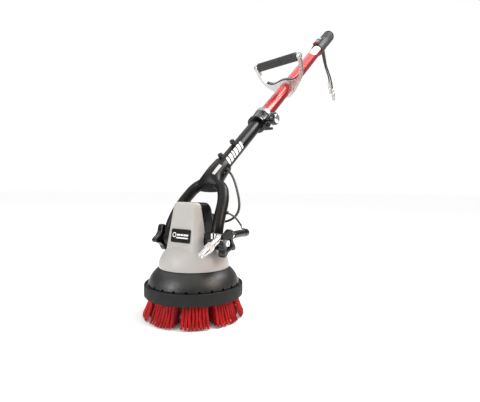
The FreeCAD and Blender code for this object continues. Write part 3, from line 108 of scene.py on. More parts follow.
def material(
    name,
    colour,
    shade,
    rough,
    metallic=0.0,
    spread=0.08,
    patch=18.0,
    grain=1400.0,
    depth=0.00006,
    stretch=(1, 1, 1),
    coat=0.0,
    coat_rough=0.1,
    specular=0.5,
    sheen=0.0,
    wear=None,
    fleck=None,
):
    """A procedural finish: mottled colour, uneven gloss, surface grain and worn edges.

    colour and shade are the two ends of the mottling, patch and grain are noise scales
    per metre, depth is the height of the grain in metres, and fleck adds fine pale specks.
    """
    made = bpy.data.materials.new(name)
    made.use_nodes = True
    tree = made.node_tree
    shader = tree.nodes["Principled BSDF"]

    def add(kind, **values):
        node = tree.nodes.new(kind)
        for key, value in values.items():
            setattr(node, key, value)
        return node

    def link(out, into):
        tree.links.new(out, into)

    place = add("ShaderNodeTexCoord")
    mapping = add("ShaderNodeMapping")
    mapping.inputs["Scale"].default_value = stretch
    link(place.outputs["Object"], mapping.inputs["Vector"])

    def noise(scale, detail=4.0):
        node = add("ShaderNodeTexNoise")
        node.inputs["Scale"].default_value = scale
        node.inputs["Detail"].default_value = detail
        link(mapping.outputs["Vector"], node.inputs["Vector"])
        return node

    mottle = noise(patch, 6.0)
    ramp = add("ShaderNodeValToRGB")
    ramp.color_ramp.elements[0].position = 0.3
    ramp.color_ramp.elements[1].position = 0.7
    ramp.color_ramp.elements[0].color = (*shade, 1)
    ramp.color_ramp.elements[1].color = (*colour, 1)
    link(mottle.outputs["Fac"], ramp.inputs["Fac"])
    tint = ramp.outputs["Color"]

    fine = noise(grain, 3.0)
    if fleck is not None:
        specks = add("ShaderNodeValToRGB")
        specks.color_ramp.elements[0].position = 0.6
        specks.color_ramp.elements[1].position = 0.74
        link(fine.outputs["Fac"], specks.inputs["Fac"])
        mix = add("ShaderNodeMix", data_type="RGBA")
        link(specks.outputs["Color"], mix.inputs["Factor"])
        link(tint, mix.inputs[6])
        mix.inputs[7].default_value = (*fleck, 1)
        tint = mix.outputs[2]
    if wear is not None:
        rounded = add("ShaderNodeBevel", samples=4)
        rounded.inputs["Radius"].default_value = 0.0012
        surface = add("ShaderNodeNewGeometry")
        facing = add("ShaderNodeVectorMath", operation="DOT_PRODUCT")
        link(rounded.outputs["Normal"], facing.inputs[0])
        link(surface.outputs["Normal"], facing.inputs[1])
        edge = add("ShaderNodeMapRange")
        edge.inputs["From Min"].default_value = 0.97
        edge.inputs["From Max"].default_value = 0.78
        edge.inputs["To Min"].default_value = 0.0
        edge.inputs["To Max"].default_value = 0.85
        link(facing.outputs["Value"], edge.inputs["Value"])
        rubbed = add("ShaderNodeMath", operation="MULTIPLY")
        link(edge.outputs["Result"], rubbed.inputs[0])
        link(noise(160.0).outputs["Fac"], rubbed.inputs[1])
        mix = add("ShaderNodeMix", data_type="RGBA")
        link(rubbed.outputs["Value"], mix.inputs["Factor"])
        link(tint, mix.inputs[6])
        mix.inputs[7].default_value = (*wear, 1)
        tint = mix.outputs[2]
    link(tint, shader.inputs["Base Color"])

    gloss = add("ShaderNodeMapRange")
    gloss.inputs["To Min"].default_value = max(0.02, rough - spread)
    gloss.inputs["To Max"].default_value = min(1.0, rough + spread)
    gloss.inputs["From Min"].default_value = 0.3
    gloss.inputs["From Max"].default_value = 0.7
    link(noise(patch * 5.0).outputs["Fac"], gloss.inputs["Value"])
    link(gloss.outputs["Result"], shader.inputs["Roughness"])

    bump = add("ShaderNodeBump")
    bump.inputs["Strength"].default_value = 1.0
    bump.inputs["Distance"].default_value = depth
    link(fine.outputs["Fac"], bump.inputs["Height"])
    link(bump.outputs["Normal"], shader.inputs["Normal"])

    shader.inputs["Metallic"].default_value = metallic
    shader.inputs["Coat Weight"].default_value = coat
    shader.inputs["Coat Roughness"].default_value = coat_rough
    shader.inputs["Specular IOR Level"].default_value = specular
    shader.inputs["Sheen Weight"].default_value = sheen
    return made


HOUSING = material(
    "housing_paint", (0.405, 0.392, 0.37), (0.36, 0.348, 0.33), 0.46, grain=2600, depth=0.00002,
    coat=0.1, coat_rough=0.4,
)
GUARD = material(
    "guard_plastic", (0.008, 0.008, 0.008), (0.005, 0.005, 0.005), 0.38, grain=1000, depth=0.0002,
    fleck=(0.05, 0.05, 0.051), specular=0.55,
)
BAND = material(
    "band_rubber", (0.014, 0.0145, 0.015), (0.010, 0.0105, 0.011), 0.62, grain=1500, depth=0.00008,
    wear=(0.14, 0.14, 0.14), specular=0.2,
)
GLOSS = material(
    "gloss_black", (0.006, 0.006, 0.006), (0.003, 0.003, 0.003), 0.2, grain=1800, depth=0.00001,
    coat=0.35, coat_rough=0.08, specular=0.3,
)
COVER = material(
    "cover_black", (0.007, 0.007, 0.008), (0.004, 0.004, 0.005), 0.3, grain=2000, depth=0.00002,
    coat=0.25, coat_rough=0.22, specular=0.25,
)
FORK = material(
    "fork_enamel", (0.006, 0.006, 0.006), (0.004, 0.004, 0.004), 0.34, grain=1300, depth=0.00002,
    coat=0.03, coat_rough=0.3, specular=0.18, wear=(0.03, 0.03, 0.03),
)
BLACK_TUBE = material(
    "tube_anodised", (0.007, 0.007, 0.007), (0.004, 0.004, 0.004), 0.34, grain=1600, depth=0.000003,
    stretch=(1, 0.2, 0.2), coat=0.05, coat_rough=0.25, specular=0.16,
)
RED_TUBE = material(
    "tube_red", (0.62, 0.008, 0.010), (0.54, 0.006, 0.008), 0.3, metallic=0.9, grain=2600,
    depth=0.000002, coat=0.5, coat_rough=0.22,
)
CAST = material(
    "cast_aluminium", (0.54, 0.53, 0.515), (0.46, 0.45, 0.44), 0.3, metallic=0.9, grain=1100,
    depth=0.00001, wear=(0.85, 0.85, 0.84),
)
CHROME = material(
    "chrome", (0.92, 0.92, 0.93), (0.86, 0.86, 0.87), 0.09, metallic=1.0, spread=0.04, grain=900,
    depth=0.000004,
)
NICKEL = material(
    "nickel", (0.62, 0.61, 0.59), (0.50, 0.49, 0.48), 0.28, metallic=1.0, grain=1500,
    depth=0.000003, wear=(0.95, 0.95, 0.94),
)
STEEL = material(
    "steel", (0.56, 0.56, 0.56), (0.44, 0.44, 0.44), 0.34, metallic=1.0, grain=1400, depth=0.00002,
)
DARK_STEEL = material(
    "screw_black", (0.022, 0.022, 0.023), (0.014, 0.014, 0.015), 0.32, metallic=0.5, grain=1500,
    depth=0.00003, wear=(0.2, 0.2, 0.2),
)
IRON = material(
    "cast_iron", (0.07, 0.07, 0.072), (0.045, 0.043, 0.042), 0.62, metallic=0.7, grain=600,
    depth=0.0002,
)
MOTOR_CAN = material(
    "motor_can", (0.30, 0.30, 0.31), (0.24, 0.24, 0.25), 0.38, metallic=0.9, grain=1200,
    depth=0.00003,
)
BOARD = material(
    "board_green", (0.02, 0.12, 0.05), (0.015, 0.09, 0.04), 0.4, grain=900, depth=0.00003,
)
HUB_PLASTIC = material(
    "block_plastic", (0.05, 0.05, 0.052), (0.036, 0.036, 0.038), 0.5, grain=1200, depth=0.00006,
)
RUBBER = material(
    "rubber", (0.020, 0.020, 0.020), (0.012, 0.012, 0.012), 0.48, grain=1100, depth=0.00004,
    sheen=0.05,
)
SWITCH = material(
    "switch_plastic", (0.018, 0.018, 0.019), (0.013, 0.013, 0.014), 0.4, grain=1700, depth=0.00005,
    coat=0.2, coat_rough=0.3,
)
BRISTLE = material(
    "bristle_red", (0.62, 0.012, 0.014), (0.30, 0.004, 0.007), 0.4, patch=90.0, grain=2400,
    depth=0.00005, stretch=(1, 1, 0.25), specular=0.35,
)
# Painted shade: a dark red for the cores down the middle of each tuft, where shade falls between
# the filaments.
BRISTLE_SHADE_CORE = material(
    "bristle_painted_shade", (0.12, 0.002, 0.004), (0.05, 0.001, 0.002), 0.6, patch=120.0, grain=2000,
    depth=0.0001, specular=0.2,
)
LABEL = material(
    "label_white", (0.84, 0.84, 0.83), (0.78, 0.78, 0.77), 0.4, grain=1800, depth=0.00001,
    coat=0.3,
)
# Painted highlight: a flat pale grey for the strip on the fork's socket, where light falls on the
# socket's flat face.
SOCKET_HIGHLIGHT = material(
    "painted_highlight_grey", (0.52, 0.52, 0.51), (0.44, 0.44, 0.43), 0.4, grain=1800, depth=0.00001,
    coat=0.2,
)
INK = material("label_ink", (0.5, 0.02, 0.02), (0.4, 0.012, 0.014), 0.4, grain=1800, depth=0.00001)
CLIP = material(
    "clip_silver", (0.78, 0.78, 0.78), (0.66, 0.66, 0.66), 0.25, metallic=1.0, grain=1500,
    depth=0.00001,
)
CLAMP_GREY = material(
    "clamp_alloy", (0.36, 0.355, 0.35), (0.28, 0.275, 0.27), 0.34, metallic=0.85, grain=1300,
    depth=0.00001, wear=(0.7, 0.7, 0.7),
)
RED_BUTTON = material(
    "button_red", (0.70, 0.018, 0.022), (0.58, 0.012, 0.016), 0.3, grain=1800, depth=0.00002,
    coat=0.5,
)
CYAN_BUTTON = material(
    "button_cyan", (0.05, 0.52, 0.66), (0.04, 0.42, 0.56), 0.3, grain=1800, depth=0.00002,
    coat=0.5,
)
LEAD = material(
    "lead_black", (0.014, 0.014, 0.014), (0.009, 0.009, 0.009), 0.36, grain=1600, depth=0.00003,
)
BRAID = material(
    "braid_black", (0.020, 0.020, 0.021), (0.012, 0.012, 0.012), 0.34, grain=1300, depth=0.00012,
    fleck=(0.42, 0.43, 0.42), coat=0.3,
)

FINISHES = {
    "motor_housing": HOUSING,
    "rear_cover": COVER,
    "badge_plate": GLOSS,
    "splash_guard": GUARD,
    "splash_band": BAND,
    "deck_plate": STEEL,
    "weight_ring": IRON,
    "gearbox_case": CAST,
    "ring_gear": STEEL,
    "output_bearings": STEEL,
    "drive_motor": MOTOR_CAN,
    "control_board": BOARD,
    "pivot_brackets": DARK_STEEL,
    "cable_gland": RUBBER,
    "head_screws": STEEL,
    "output_shaft": STEEL,
    "planet_carrier": STEEL,
    "drive_hub": MOTOR_CAN,
    "hub_fasteners": STEEL,
    "brush_block": HUB_PLASTIC,
    "brush_tufts": BRISTLE,
    "sun_gear": STEEL,
    "planet_gear_1": STEEL,
    "planet_gear_2": STEEL,
    "planet_gear_3": STEEL,
    "fork_yoke": FORK,
    "lower_tube": BLACK_TUBE,
    "fork_screws": DARK_STEEL,
    "nozzle_bracket": FORK,
    "inline_filter": GLOSS,
    "filter_fittings": CHROME,
    "hose_grommets": RUBBER,
    "water_hose": BRAID,
    "power_cable": LEAD,
    "right_knob": GLOSS,
    "left_knob": GLOSS,
    "nozzle_body": NICKEL,
    "nozzle_tip": NICKEL,
    "upper_tube": RED_TUBE,
    "guide_bush": SWITCH,
    "clamp_collar": GLOSS,
    "clamp_band": CLAMP_GREY,
    "loop_handle": CAST,
    "handle_bar": CAST,
    "handle_grip": RUBBER,
    "handle_strip": GLOSS,
    "switch_housing": SWITCH,
    "button_switches": SWITCH,
    "grip_sleeve": RUBBER,
    "grip_end_cap": RUBBER,
    "lead_strain_relief": RUBBER,
    "water_lead": LEAD,
    "power_lead": LEAD,
    "water_connector": NICKEL,
    "power_connector": NICKEL,
    "clamp_knob": GLOSS,
    "clamp_knob_screw": CHROME,
    "wing_screw": DARK_STEEL,
    "power_button": RED_BUTTON,
    "water_button": CYAN_BUTTON,
}
for label, finish in FINISHES.items():
    NODES[label].data.materials.clear()
    NODES[label].data.materials.append(finish)

# ---------------------------------------------------------------- mesh helpers


def mesh_piece(name, verts, faces, finish, body, sharp=35.0):
    """A mesh given in millimetres, smooth apart from its sharp edges, on one CAD body."""
    data = bpy.data.meshes.new(name)
    data.from_pydata([Vector(v) * MM for v in verts], [], faces)
    data.validate()
    data.polygons.foreach_set("use_smooth", [True] * len(data.polygons))
    data.set_sharp_from_angle(angle=math.radians(sharp))
    data.materials.append(finish)
    piece = bpy.data.objects.new(name, data)
    scene.collection.objects.link(piece)
    if body is not None:
        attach(piece, body)
    return piece


def axes_about(axis, side=None):
    """Two directions square to the axis and to each other."""
    axis = Vector(axis).normalized()
    side = Vector(side) if side is not None else (X_AXIS if abs(axis.x) < 0.9 else Z_AXIS)
    first = (side - axis * side.dot(axis)).normalized()
    return first, axis.cross(first)


def turned(profile, origin, axis, steps=48, shape=None, side=None):
    """Vertices and faces of a closed turned form. profile is a list of (radius, height).

    shape(radius, height, angle) changes the radius, for flutes, lobes and knurls.
    """
    axis = Vector(axis).normalized()
    origin = Vector(origin)
    first, second = axes_about(axis, side)
    verts, rows = [], []
    for radius, height in profile:
        centre = origin + axis * height
        if radius < 1e-6:
            rows.append([len(verts)])
            verts.append(centre)
            continue
        row = []
        for i in range(steps):
            angle = 2 * math.pi * i / steps
            reach = shape(radius, height, angle) if shape else radius
            row.append(len(verts))
            verts.append(centre + (first * math.cos(angle) + second * math.sin(angle)) * reach)
        rows.append(row)
    faces = []
    for low, high in zip(rows, rows[1:]):
        for i in range(steps):
            j = (i + 1) % steps
            if len(low) == 1 and len(high) > 1:
                faces.append((low[0], high[j], high[i]))
            elif len(high) == 1 and len(low) > 1:
                faces.append((low[i], low[j], high[0]))
            elif len(low) > 1:
                faces.append((low[i], low[j], high[j], high[i]))
    return verts, faces


def joined(*parts):
    """Several (vertices, faces) pairs as one."""
    verts, faces = [], []
    for part_verts, part_faces in parts:
        base = len(verts)
        verts.extend(part_verts)
        faces.extend(tuple(base + i for i in face) for face in part_faces)
    return verts, faces


def tube(points, radius, sides=12, shape=None, start=None):
    """A closed tube along points, with no twist of its own. shape(along, angle) scales it."""
    points = [Vector(p) for p in points]
    count = len(points)
    tangents = []
    for i in range(count):
        ahead = points[min(i + 1, count - 1)] - points[max(i - 1, 0)]
        tangents.append(ahead.normalized())
    first, _ = axes_about(tangents[0], start)
    verts, faces = [], []
    along = 0.0
    for i, (point, tangent) in enumerate(zip(points, tangents)):
        if i:
            along += (point - points[i - 1]).length
        first = (first - tangent * first.dot(tangent)).normalized()
        second = tangent.cross(first)
        for k in range(sides):
            angle = 2 * math.pi * k / sides
            reach = radius * (shape(along, angle) if shape else 1.0)
            verts.append(point + (first * math.cos(angle) + second * math.sin(angle)) * reach)
    for i in range(count - 1):
        for k in range(sides):
            j = (k + 1) % sides
            faces.append(
                (i * sides + k, i * sides + j, (i + 1) * sides + j, (i + 1) * sides + k)
            )
    faces.append(tuple(reversed(range(sides))))
    faces.append(tuple((count - 1) * sides + k for k in range(sides)))
    return verts, faces


# ---------------------------------------------------------------- cords

CABLE_ROUTE = [
    (27.8, 94.4, 321.4), (38.5, 91.2, 313.4), (50, 86, 299), (62, 78, 279), (72.5, 71, 257),
    (77.5, 66, 237), (75, 60, 221), (65, 53, 209.5), (52, 47, 204.5), (38, 44, 203),
]
HOSE_ROUTE = [
    (75.4, 22.5, 226.2), (83.4, 25.8, 222.6), (90.0, 30.0, 216.2), (95.2, 34.6, 207.6),
    (99.4, 39.2, 198.2),
]
WATER_LEAD_ROUTE = [
    (0.1, 835.17, 793.70), (0.1, 844.20, 781.72), (2.6, 854.5, 767.5), (5.0, 866, 754),
    (6.6, 875.5, 741), (7.2, 879.5, 727),
]
POWER_LEAD_ROUTE = [
    (5.9, 835.17, 793.70), (5.9, 844.20, 781.72), (9.6, 855.5, 765.5), (13.4, 866.5, 749),
    (16, 876, 731.5), (18.2, 882.5, 714), (19.6, 886, 697),
]


def route_curve(name, route, radius=0.0):
    """A smooth curve with the route's points as its control points."""
    data = bpy.data.curves.new(name, "CURVE")
    data.dimensions = "3D"
    spline = data.splines.new("NURBS")
    spline.points.add(len(route) - 1)
    for point, spot in zip(spline.points, route):
        point.co = (*(Vector(spot) * MM), 1)
    spline.order_u = 3
    spline.use_endpoint_u = True
    spline.resolution_u = 24
    data.bevel_depth = radius * MM
    data.bevel_resolution = 6
    data.use_fill_caps = radius > 0
    piece = bpy.data.objects.new(name, data)
    scene.collection.objects.link(piece)
    return piece


def line_of(route):
    """Points along the route's smooth curve, in millimetres."""
    guide = route_curve("guide", route)
    bpy.context.view_layer.update()
    read = bpy.data.meshes.new_from_object(guide)
    points = [v.co.copy() / MM for v in read.vertices]
    bpy.data.objects.remove(guide)
    bpy.data.meshes.remove(read)
    return points


def length_of(points):
    return sum((b - a).length for a, b in zip(points, points[1:]))


def finished_cord(name, route, radius, body, finish):
    piece = route_curve(name, route, radius)
    piece.data.materials.append(finish)
    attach(piece, body)
    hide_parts(name.replace("_cord", ""))
    return piece


for label, route in (("water", WATER_LEAD_ROUTE), ("power", POWER_LEAD_ROUTE)):
    lead = finished_cord(f"{label}_lead_cord", route, 2.7, "upper_pole", LEAD)

cable_line = line_of(CABLE_ROUTE)
cable = mesh_piece(
    "power_cable_cord",
    *tube(
        cable_line,
        3.0,
        sides=20,
        shape=lambda s, a: 0.86 + 0.14 * math.cos(2 * (a - s * 2 * math.pi / 26.0)) ** 2,
    ),
    BRAID,
    None,
)
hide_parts("power_cable")
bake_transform(cable)
length_of(cable_line) * MM

hose_line = line_of(HOSE_ROUTE)
hose = mesh_piece(
    "water_hose_cord",
    *tube(
        hose_line,
        2.2,
        sides=20,
        shape=lambda s, a: 0.84 + 0.16 * math.cos(2 * (a - s * 2 * math.pi / 9.0)) ** 2,
    ),
    BRAID,
    "fork",
)
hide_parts("water_hose")
length_of(hose_line) * MM

# ---------------------------------------------------------------- brush tufts


def strand_line(root_r, tip_r, angle, length, sway, lean):
    """The middle line of one tuft as a function of its share of the length."""
    out = Vector((math.cos(angle), math.sin(angle), 0))
    side = Vector((-math.sin(angle), math.cos(angle), 0))

    def spot(t):
        reach = root_r + (tip_r - root_r) * (0.75 * t + 0.25 * t * t)
        reach += 0.45 * t * math.sin(t * 11.0 + sway)
        cross = 0.45 * math.sin(t * 9.0 + sway * 1.7) + lean * t
        return out * reach + side * cross + Vector((0, 0, 50.5 - length * t))

    return out, side, spot


rng = random.Random(71)
filaments, shade_tubes = [], []
# Root radius, tip radius, tufts in the row, half the row's angle.
ROWS = ((93.0, 109.6, 8, 14.0), (82.5, 95.5, 7, 13.0), (72.0, 82.0, 6, 11.8), (62.0, 69.5, 5, 10.4))
for group in range(9):
    middle = math.radians(-90 + 40 * group)
    for root_r, tip_r, count, half in ROWS:
        for n in range(count):
            angle = middle + math.radians(half) * (2 * n / (count - 1) - 1)
            sway = rng.uniform(0, 2 * math.pi)
            length = 49.6 - rng.random() * 2.4
            out, side, spot = strand_line(
                root_r, tip_r, angle, length, sway, rng.uniform(-0.7, 0.7)
            )
            # Each tuft's dark core is painted shade: a dark tube from root to tip standing in for
            # the shade between its filaments.
            shade_tubes.append(tube([spot(t / 6) for t in range(7)], 1.75, sides=8))
            for f in range(12):
                begin = 2 * math.pi * (f + rng.uniform(-0.25, 0.25)) / 12
                phase = sway + rng.uniform(-0.6, 0.6)
                twist = rng.uniform(0.1, 0.5)
                end = 1.0 - rng.random() ** 2 * 0.06
                points = []
                for step in range(12):
                    t = end * step / 11
                    swirl = begin + twist * t
                    ring = 1.7 + 0.55 * t + 0.2 * math.sin(t * 46.0 + phase)
                    points.append(
                        spot(t) + side * math.cos(swirl) * ring + out * math.sin(swirl) * ring
                    )
                filaments.append(tube(points, rng.uniform(0.46, 0.58), sides=5))
tufts = mesh_piece("brush_bristles", *joined(*filaments), BRISTLE, "brush", sharp=60)
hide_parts("brush_tufts")
# The tuft cores carry painted shade for the gaps between the filaments.
inner = mesh_piece("brush_painted_shade_cores", *joined(*shade_tubes), BRISTLE_SHADE_CORE, "brush", sharp=60)

# ---------------------------------------------------------------- star knobs


def arc_rows(low, high, outer, fillet, steps=5):
    """Rows of a disc with rounded rims, from its low face to its high face."""
    rows = []
    for i in range(steps + 1):
        angle = math.pi / 2 * i / steps
        rows.append((outer - fillet * (1 - math.sin(angle)), low + fillet * (1 - math.cos(angle))))
    for i in range(steps + 1):
        angle = math.pi / 2 * i / steps
        rows.append((outer - fillet * (1 - math.cos(angle)), high - fillet * (1 - math.sin(angle))))
    return rows


def hexagonal(radius, angle):
    """Where the side of a hexagon of that corner radius lies at an angle."""
    return radius * math.cos(math.pi / 6) / math.cos((angle % (math.pi / 3)) - math.pi / 6)


for label, sign, first_lobe in (("right", 1, -28.0), ("left", -1, 10.0)):
    origin = PIVOT
    axis = Vector((sign, 0, 0))
    lobe_at = math.radians(first_lobe * sign)

    def star(radius, height, angle, lobe_at=lobe_at):
        """Four pointed lobes with hollow flanks."""
        if radius < 15:
            return radius
        lobe = (0.5 + 0.5 * math.cos(4 * (angle - lobe_at))) ** 2.1
        return radius * (0.60 + 0.40 * lobe)

    rows = [(5.0, 90.5), (5.0, 72.2), (11.2, 72.2), (12.0, 73.0), (12.0, 80.4)]
    rows += arc_rows(80.5, 96.5, 31.5, 3.2)
    rows += [(10.8, 96.5), (10.0, 95.9), (10.0, 90.5), (5.0, 90.5)]
    knob = mesh_piece(
        f"{label}_star",
        *turned(rows, origin, axis, steps=144, shape=star, side=(0, 1, 0)),
        GLOSS,
        f"{label}_knob",
        sharp=40,
    )
    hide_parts(f"{label}_knob")
    bolt = turned(
        [(0, 39), (4.95, 39), (4.95, 90.6), (7.2, 90.6), (7.6, 91.0), (7.6, 94.0), (6.9, 94.6),
         (4.2, 94.6), (3.6, 92.6), (0, 92.6)],
        origin,
        axis,
        steps=96,
        shape=lambda r, h, a: hexagonal(r, a) if r > 6 or h == 92.6 else r,
        side=(0, 1, 0),
    )
    bolt = mesh_piece(f"{label}_star_bolt", *bolt, CHROME, f"{label}_knob", sharp=30)

# ---------------------------------------------------------------- housing

shell_data = NODES["motor_housing"].data.copy()
shell = bpy.data.objects.new("housing_shell", shell_data)
scene.collection.objects.link(shell)
remesh = shell.modifiers.new("remesh", "REMESH")
remesh.mode = "VOXEL"
remesh.voxel_size = 0.0008
smooth = shell.modifiers.new("smooth", "SMOOTH")
smooth.factor = 0.5
smooth.iterations = 13
bpy.context.view_layer.update()
dense = bpy.data.meshes.new_from_object(
    shell.evaluated_get(bpy.context.evaluated_depsgraph_get())
)
shell.modifiers.clear()
shell.data = dense
dense.polygons.foreach_set("use_smooth", [True] * len(dense.polygons))
dense.materials.clear()
dense.materials.append(HOUSING)
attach(shell, "head")
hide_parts("motor_housing")

# ---------------------------------------------------------------- badge


def badge_spot(across, along, proud):
    """A point on the sloping badge plate, proud of its face."""
    slope = math.atan2(55.0 - 34.0, 249.5 - 110.0)
    rise = (178.0 - 110.0) / (249.5 - 110.0)
    front = -(55.0 * (1 - rise) + 34.0 * rise)
    out = Vector((0, -math.cos(slope), math.sin(slope)))
    rising = Vector((0, math.sin(slope), math.cos(slope)))
    return Vector((across, front, 178.0)) + rising * along + out * (1.8 + proud)


def badge_bar(left, low, wide, tall, slant, proud=0.35):
    """A slanted raised bar with a bevelled rim."""
    verts, faces = [], []
    for inset, lift in ((0.0, -0.2), (0.0, proud - 0.12), (0.14, proud)):
        for x, z in ((0, 0), (1, 0), (1, 1), (0, 1)):
            across = left + x * wide + z * slant + (inset if x == 0 else -inset)
            verts.append(badge_spot(across, low + z * tall + (inset if z == 0 else -inset), lift))
    for layer in range(2):
        for i in range(4):
            j = (i + 1) % 4
            faces.append((4 * layer + i, 4 * layer + j, 4 * layer + 4 + j, 4 * layer + 4 + i))
    faces.append((8, 9, 10, 11))
    faces.append((3, 2, 1, 0))
    return verts, faces


ring_verts, ring_faces = [], []
for i in range(48):
    angle = 2 * math.pi * i / 48
    for radius, proud in ((3.6, -0.2), (3.7, 0.3), (5.2, 0.3), (5.3, -0.2)):
        ring_verts.append(
            badge_spot(-17.0 + radius * math.cos(angle), 1.5 + radius * math.sin(angle), proud)
        )
    j = (i + 1) % 48
    for k in range(4):
        m = (k + 1) % 4
        ring_faces.append((4 * i + k, 4 * i + m, 4 * j + m, 4 * j + k))
marks = joined(
    (ring_verts, ring_faces),
    badge_bar(-10.0, 0.2, 9.0, 3.6, 1.0),
    badge_bar(0.6, 0.2, 6.0, 3.6, 1.0),
    badge_bar(8.2, 0.2, 12.0, 3.6, 1.0),
    badge_bar(-11.4, -5.6, 32.0, 2.6, 0.7),
)
mesh_piece("badge_marks", *marks, LABEL, "head", sharp=30)

# ---------------------------------------------------------------- labels on the tubes


def sheet_faces(rows, columns):
    """Faces of a thin closed sheet whose outer grid of points comes before its inner one."""
    sheet = rows * columns
    faces = []
    for i in range(rows - 1):
        for k in range(columns - 1):
            a = i * columns + k
            faces.append((a, a + 1, a + columns + 1, a + columns))
            faces.append((sheet + a + columns, sheet + a + columns + 1, sheet + a + 1, sheet + a))
    rim = list(range(columns))
    rim += [i * columns + columns - 1 for i in range(1, rows)]
    rim += [(rows - 1) * columns + k for k in range(columns - 2, -1, -1)]
    rim += [i * columns for i in range(rows - 2, 0, -1)]
    for a, b in zip(rim, rim[1:] + rim[:1]):
        faces.append((b, a, sheet + a, sheet + b))
    return faces


def tube_patch(radius, along, middle, outline, proud=0.12, turn=0.0, step=1.2):
    """A thin sheet wrapped on a tube.

    outline gives, for a share of the patch's length, the two angles in degrees that it spans.
    middle is the angle from the tube's top side towards -X.
    """
    start, end = along
    rows = max(2, int(abs(end - start) / step) + 1)
    columns = 14
    verts = []
    for layer in (proud, -0.3):
        for i in range(rows):
            share = i / (rows - 1)
            first, last = outline(share)
            for k in range(columns):
                angle = math.radians(middle + first + (last - first) * k / (columns - 1))
                reach = radius + layer
                verts.append(
                    on_pole(
                        start + (end - start) * share,
                        -math.sin(angle) * reach,
                        -math.cos(angle) * reach,
                    )
                )
    return verts, sheet_faces(rows, columns)


def slanted_bar(start, wide, slant=7.0, middle=-62.0, half=30.0):
    """One bar of the tube's plain pattern, leaning along the tube."""
    count = 16
    verts, faces = [], []
    for layer in (0.12, -0.3):
        for k in range(count + 1):
            angle = math.radians(middle - half + 2 * half * k / count)
            shift = slant * k / count
            for along in (start + shift, start + shift + wide):
                reach = LOWER_TUBE_RADIUS + layer
                verts.append(on_pole(along, -math.sin(angle) * reach, -math.cos(angle) * reach))
    sheet = 2 * (count + 1)
    for k in range(count):
        a = 2 * k
        faces.append((a, a + 1, a + 3, a + 2))
        faces.append((sheet + a + 2, sheet + a + 3, sheet + a + 1, sheet + a))
        faces.append((a + 2, sheet + a + 2, sheet + a, a))
        faces.append((a + 1, sheet + a + 1, sheet + a + 3, a + 3))
    faces.append((0, sheet, sheet + 1, 1))
    a = 2 * count
    faces.append((a + 1, sheet + a + 1, sheet + a, a))
    return verts, faces


def strip_on(node, along, middle, half, rows=24, columns=7, proud=0.2):
    """A thin strip laid on a CAD node, found by looking in towards the pole's axis."""
    mesh = node.data
    skin = BVHTree.FromPolygons(
        [node.matrix_world @ v.co / MM for v in mesh.vertices],
        [tuple(p.vertices) for p in mesh.polygons],
    )
    verts = []
    for layer in (proud, -0.4):
        for i in range(rows):
            place = along[0] + (along[1] - along[0]) * i / (rows - 1)
            for k in range(columns):
                angle = math.radians(middle - half + 2 * half * k / (columns - 1))
                away = (on_pole(0, -math.sin(angle), -math.cos(angle)) - on_pole(0)).normalized()
                start = on_pole(place) + away * 80
                hit = skin.ray_cast(start, -away)[0]
                verts.append(hit + away * layer)
    return verts, sheet_faces(rows, columns)


BARS = ((141.0, 9.0), (154.5, 12.0), (171.0, 6.5), (182.0, 12.0), (198.5, 12.0), (215.0, 8.0))
stripes = joined(*[slanted_bar(start, wide) for start, wide in BARS])
mesh_piece("tube_stripes", *stripes, LABEL, "fork", sharp=40)
# A pale grey strip on the fork's socket: a painted highlight standing in for light on its flat
# face.
socket_painted_highlight = strip_on(NODES["fork_yoke"], (78.0, 114.0), -38.0, 9.0)
mesh_piece("socket_painted_highlight", *socket_painted_highlight, SOCKET_HIGHLIGHT, "fork", sharp=40)
label_patch = tube_patch(
    UPPER_TUBE_RADIUS,
    (850.0, 930.0),
    -32.0,
    lambda t: (-42 * math.sqrt(max(0.0, min(1.0, 4 * t))), 42 * math.sqrt(min(1.0, 4 * t))),
)
mesh_piece("pole_label", *label_patch, LABEL, "upper_pole", sharp=40)
ink_rows = [
    tube_patch(UPPER_TUBE_RADIUS, (872.0 + 13.0 * i, 878.0 + 13.0 * i), -32.0,
               lambda t, i=i: (-26 + 5 * i, 24 - 4 * i), proud=0.2)
    for i in range(4)
]
mesh_piece("pole_label_lines", *joined(*ink_rows), INK, "upper_pole", sharp=40)

# ---------------------------------------------------------------- loop handle grip

LOOP_TURN = math.radians(5.6)
LOOP_SIDE = X_AXIS * math.cos(LOOP_TURN) + TOP * math.sin(LOOP_TURN)
LOOP_UP = TOP * math.cos(LOOP_TURN) - X_AXIS * math.sin(LOOP_TURN)
grip_centre = on_pole(593.0) + LOOP_UP * 87.0


def diamond(radius, height, angle):
    """Crossing grooves that leave small pyramids, fading out at the smooth end bands."""
    if radius < 12.9 or abs(height) > 63.5:
        return radius
    pitch = 7.1
    lean = angle * 13.5
    one = abs(((height + lean) / pitch) % 1.0 - 0.5) * 2
    two = abs(((height - lean) / pitch) % 1.0 - 0.5) * 2
    fade = min(1.0, (63.5 - abs(height)) / 2.0)
    groove = 1.0 - min(1.0, 3.2 * (1.0 - max(one, two)))
    return radius - 0.95 * fade * groove


grip_rows = [(5.0, -68.5), (12.0, -68.5), (13.0, -68.1), (GRIP_RADIUS, -67.0)]
grip_rows += [(GRIP_RADIUS, -64.4)]
grip_rows += [(13.4, -63.5 + 127.0 * i / 220) for i in range(221)]
grip_rows += [(GRIP_RADIUS, 64.4), (GRIP_RADIUS, 67.0), (13.0, 68.1), (12.0, 68.5), (5.0, 68.5)]
grip = mesh_piece(
    "handle_knurl",
    *turned(grip_rows, grip_centre, LOOP_SIDE, steps=150, shape=diamond, side=LOOP_UP),
    RUBBER,
    "upper_pole",
    sharp=60,
)
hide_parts("handle_grip")

# ---------------------------------------------------------------- strain relief and connectors


def ribbed(radius, height, angle):
    """Open ribs along the tapered sleeve, stopping short of its ends."""
    if radius < 4.0 or not 8.0 < height < 42.0:
        return radius
    wave = 0.5 - 0.5 * math.cos(2 * math.pi * (height - 8.0) / 4.25)
    return radius - 0.9 * wave * (0.55 + 0.45 * abs(math.sin(angle)))


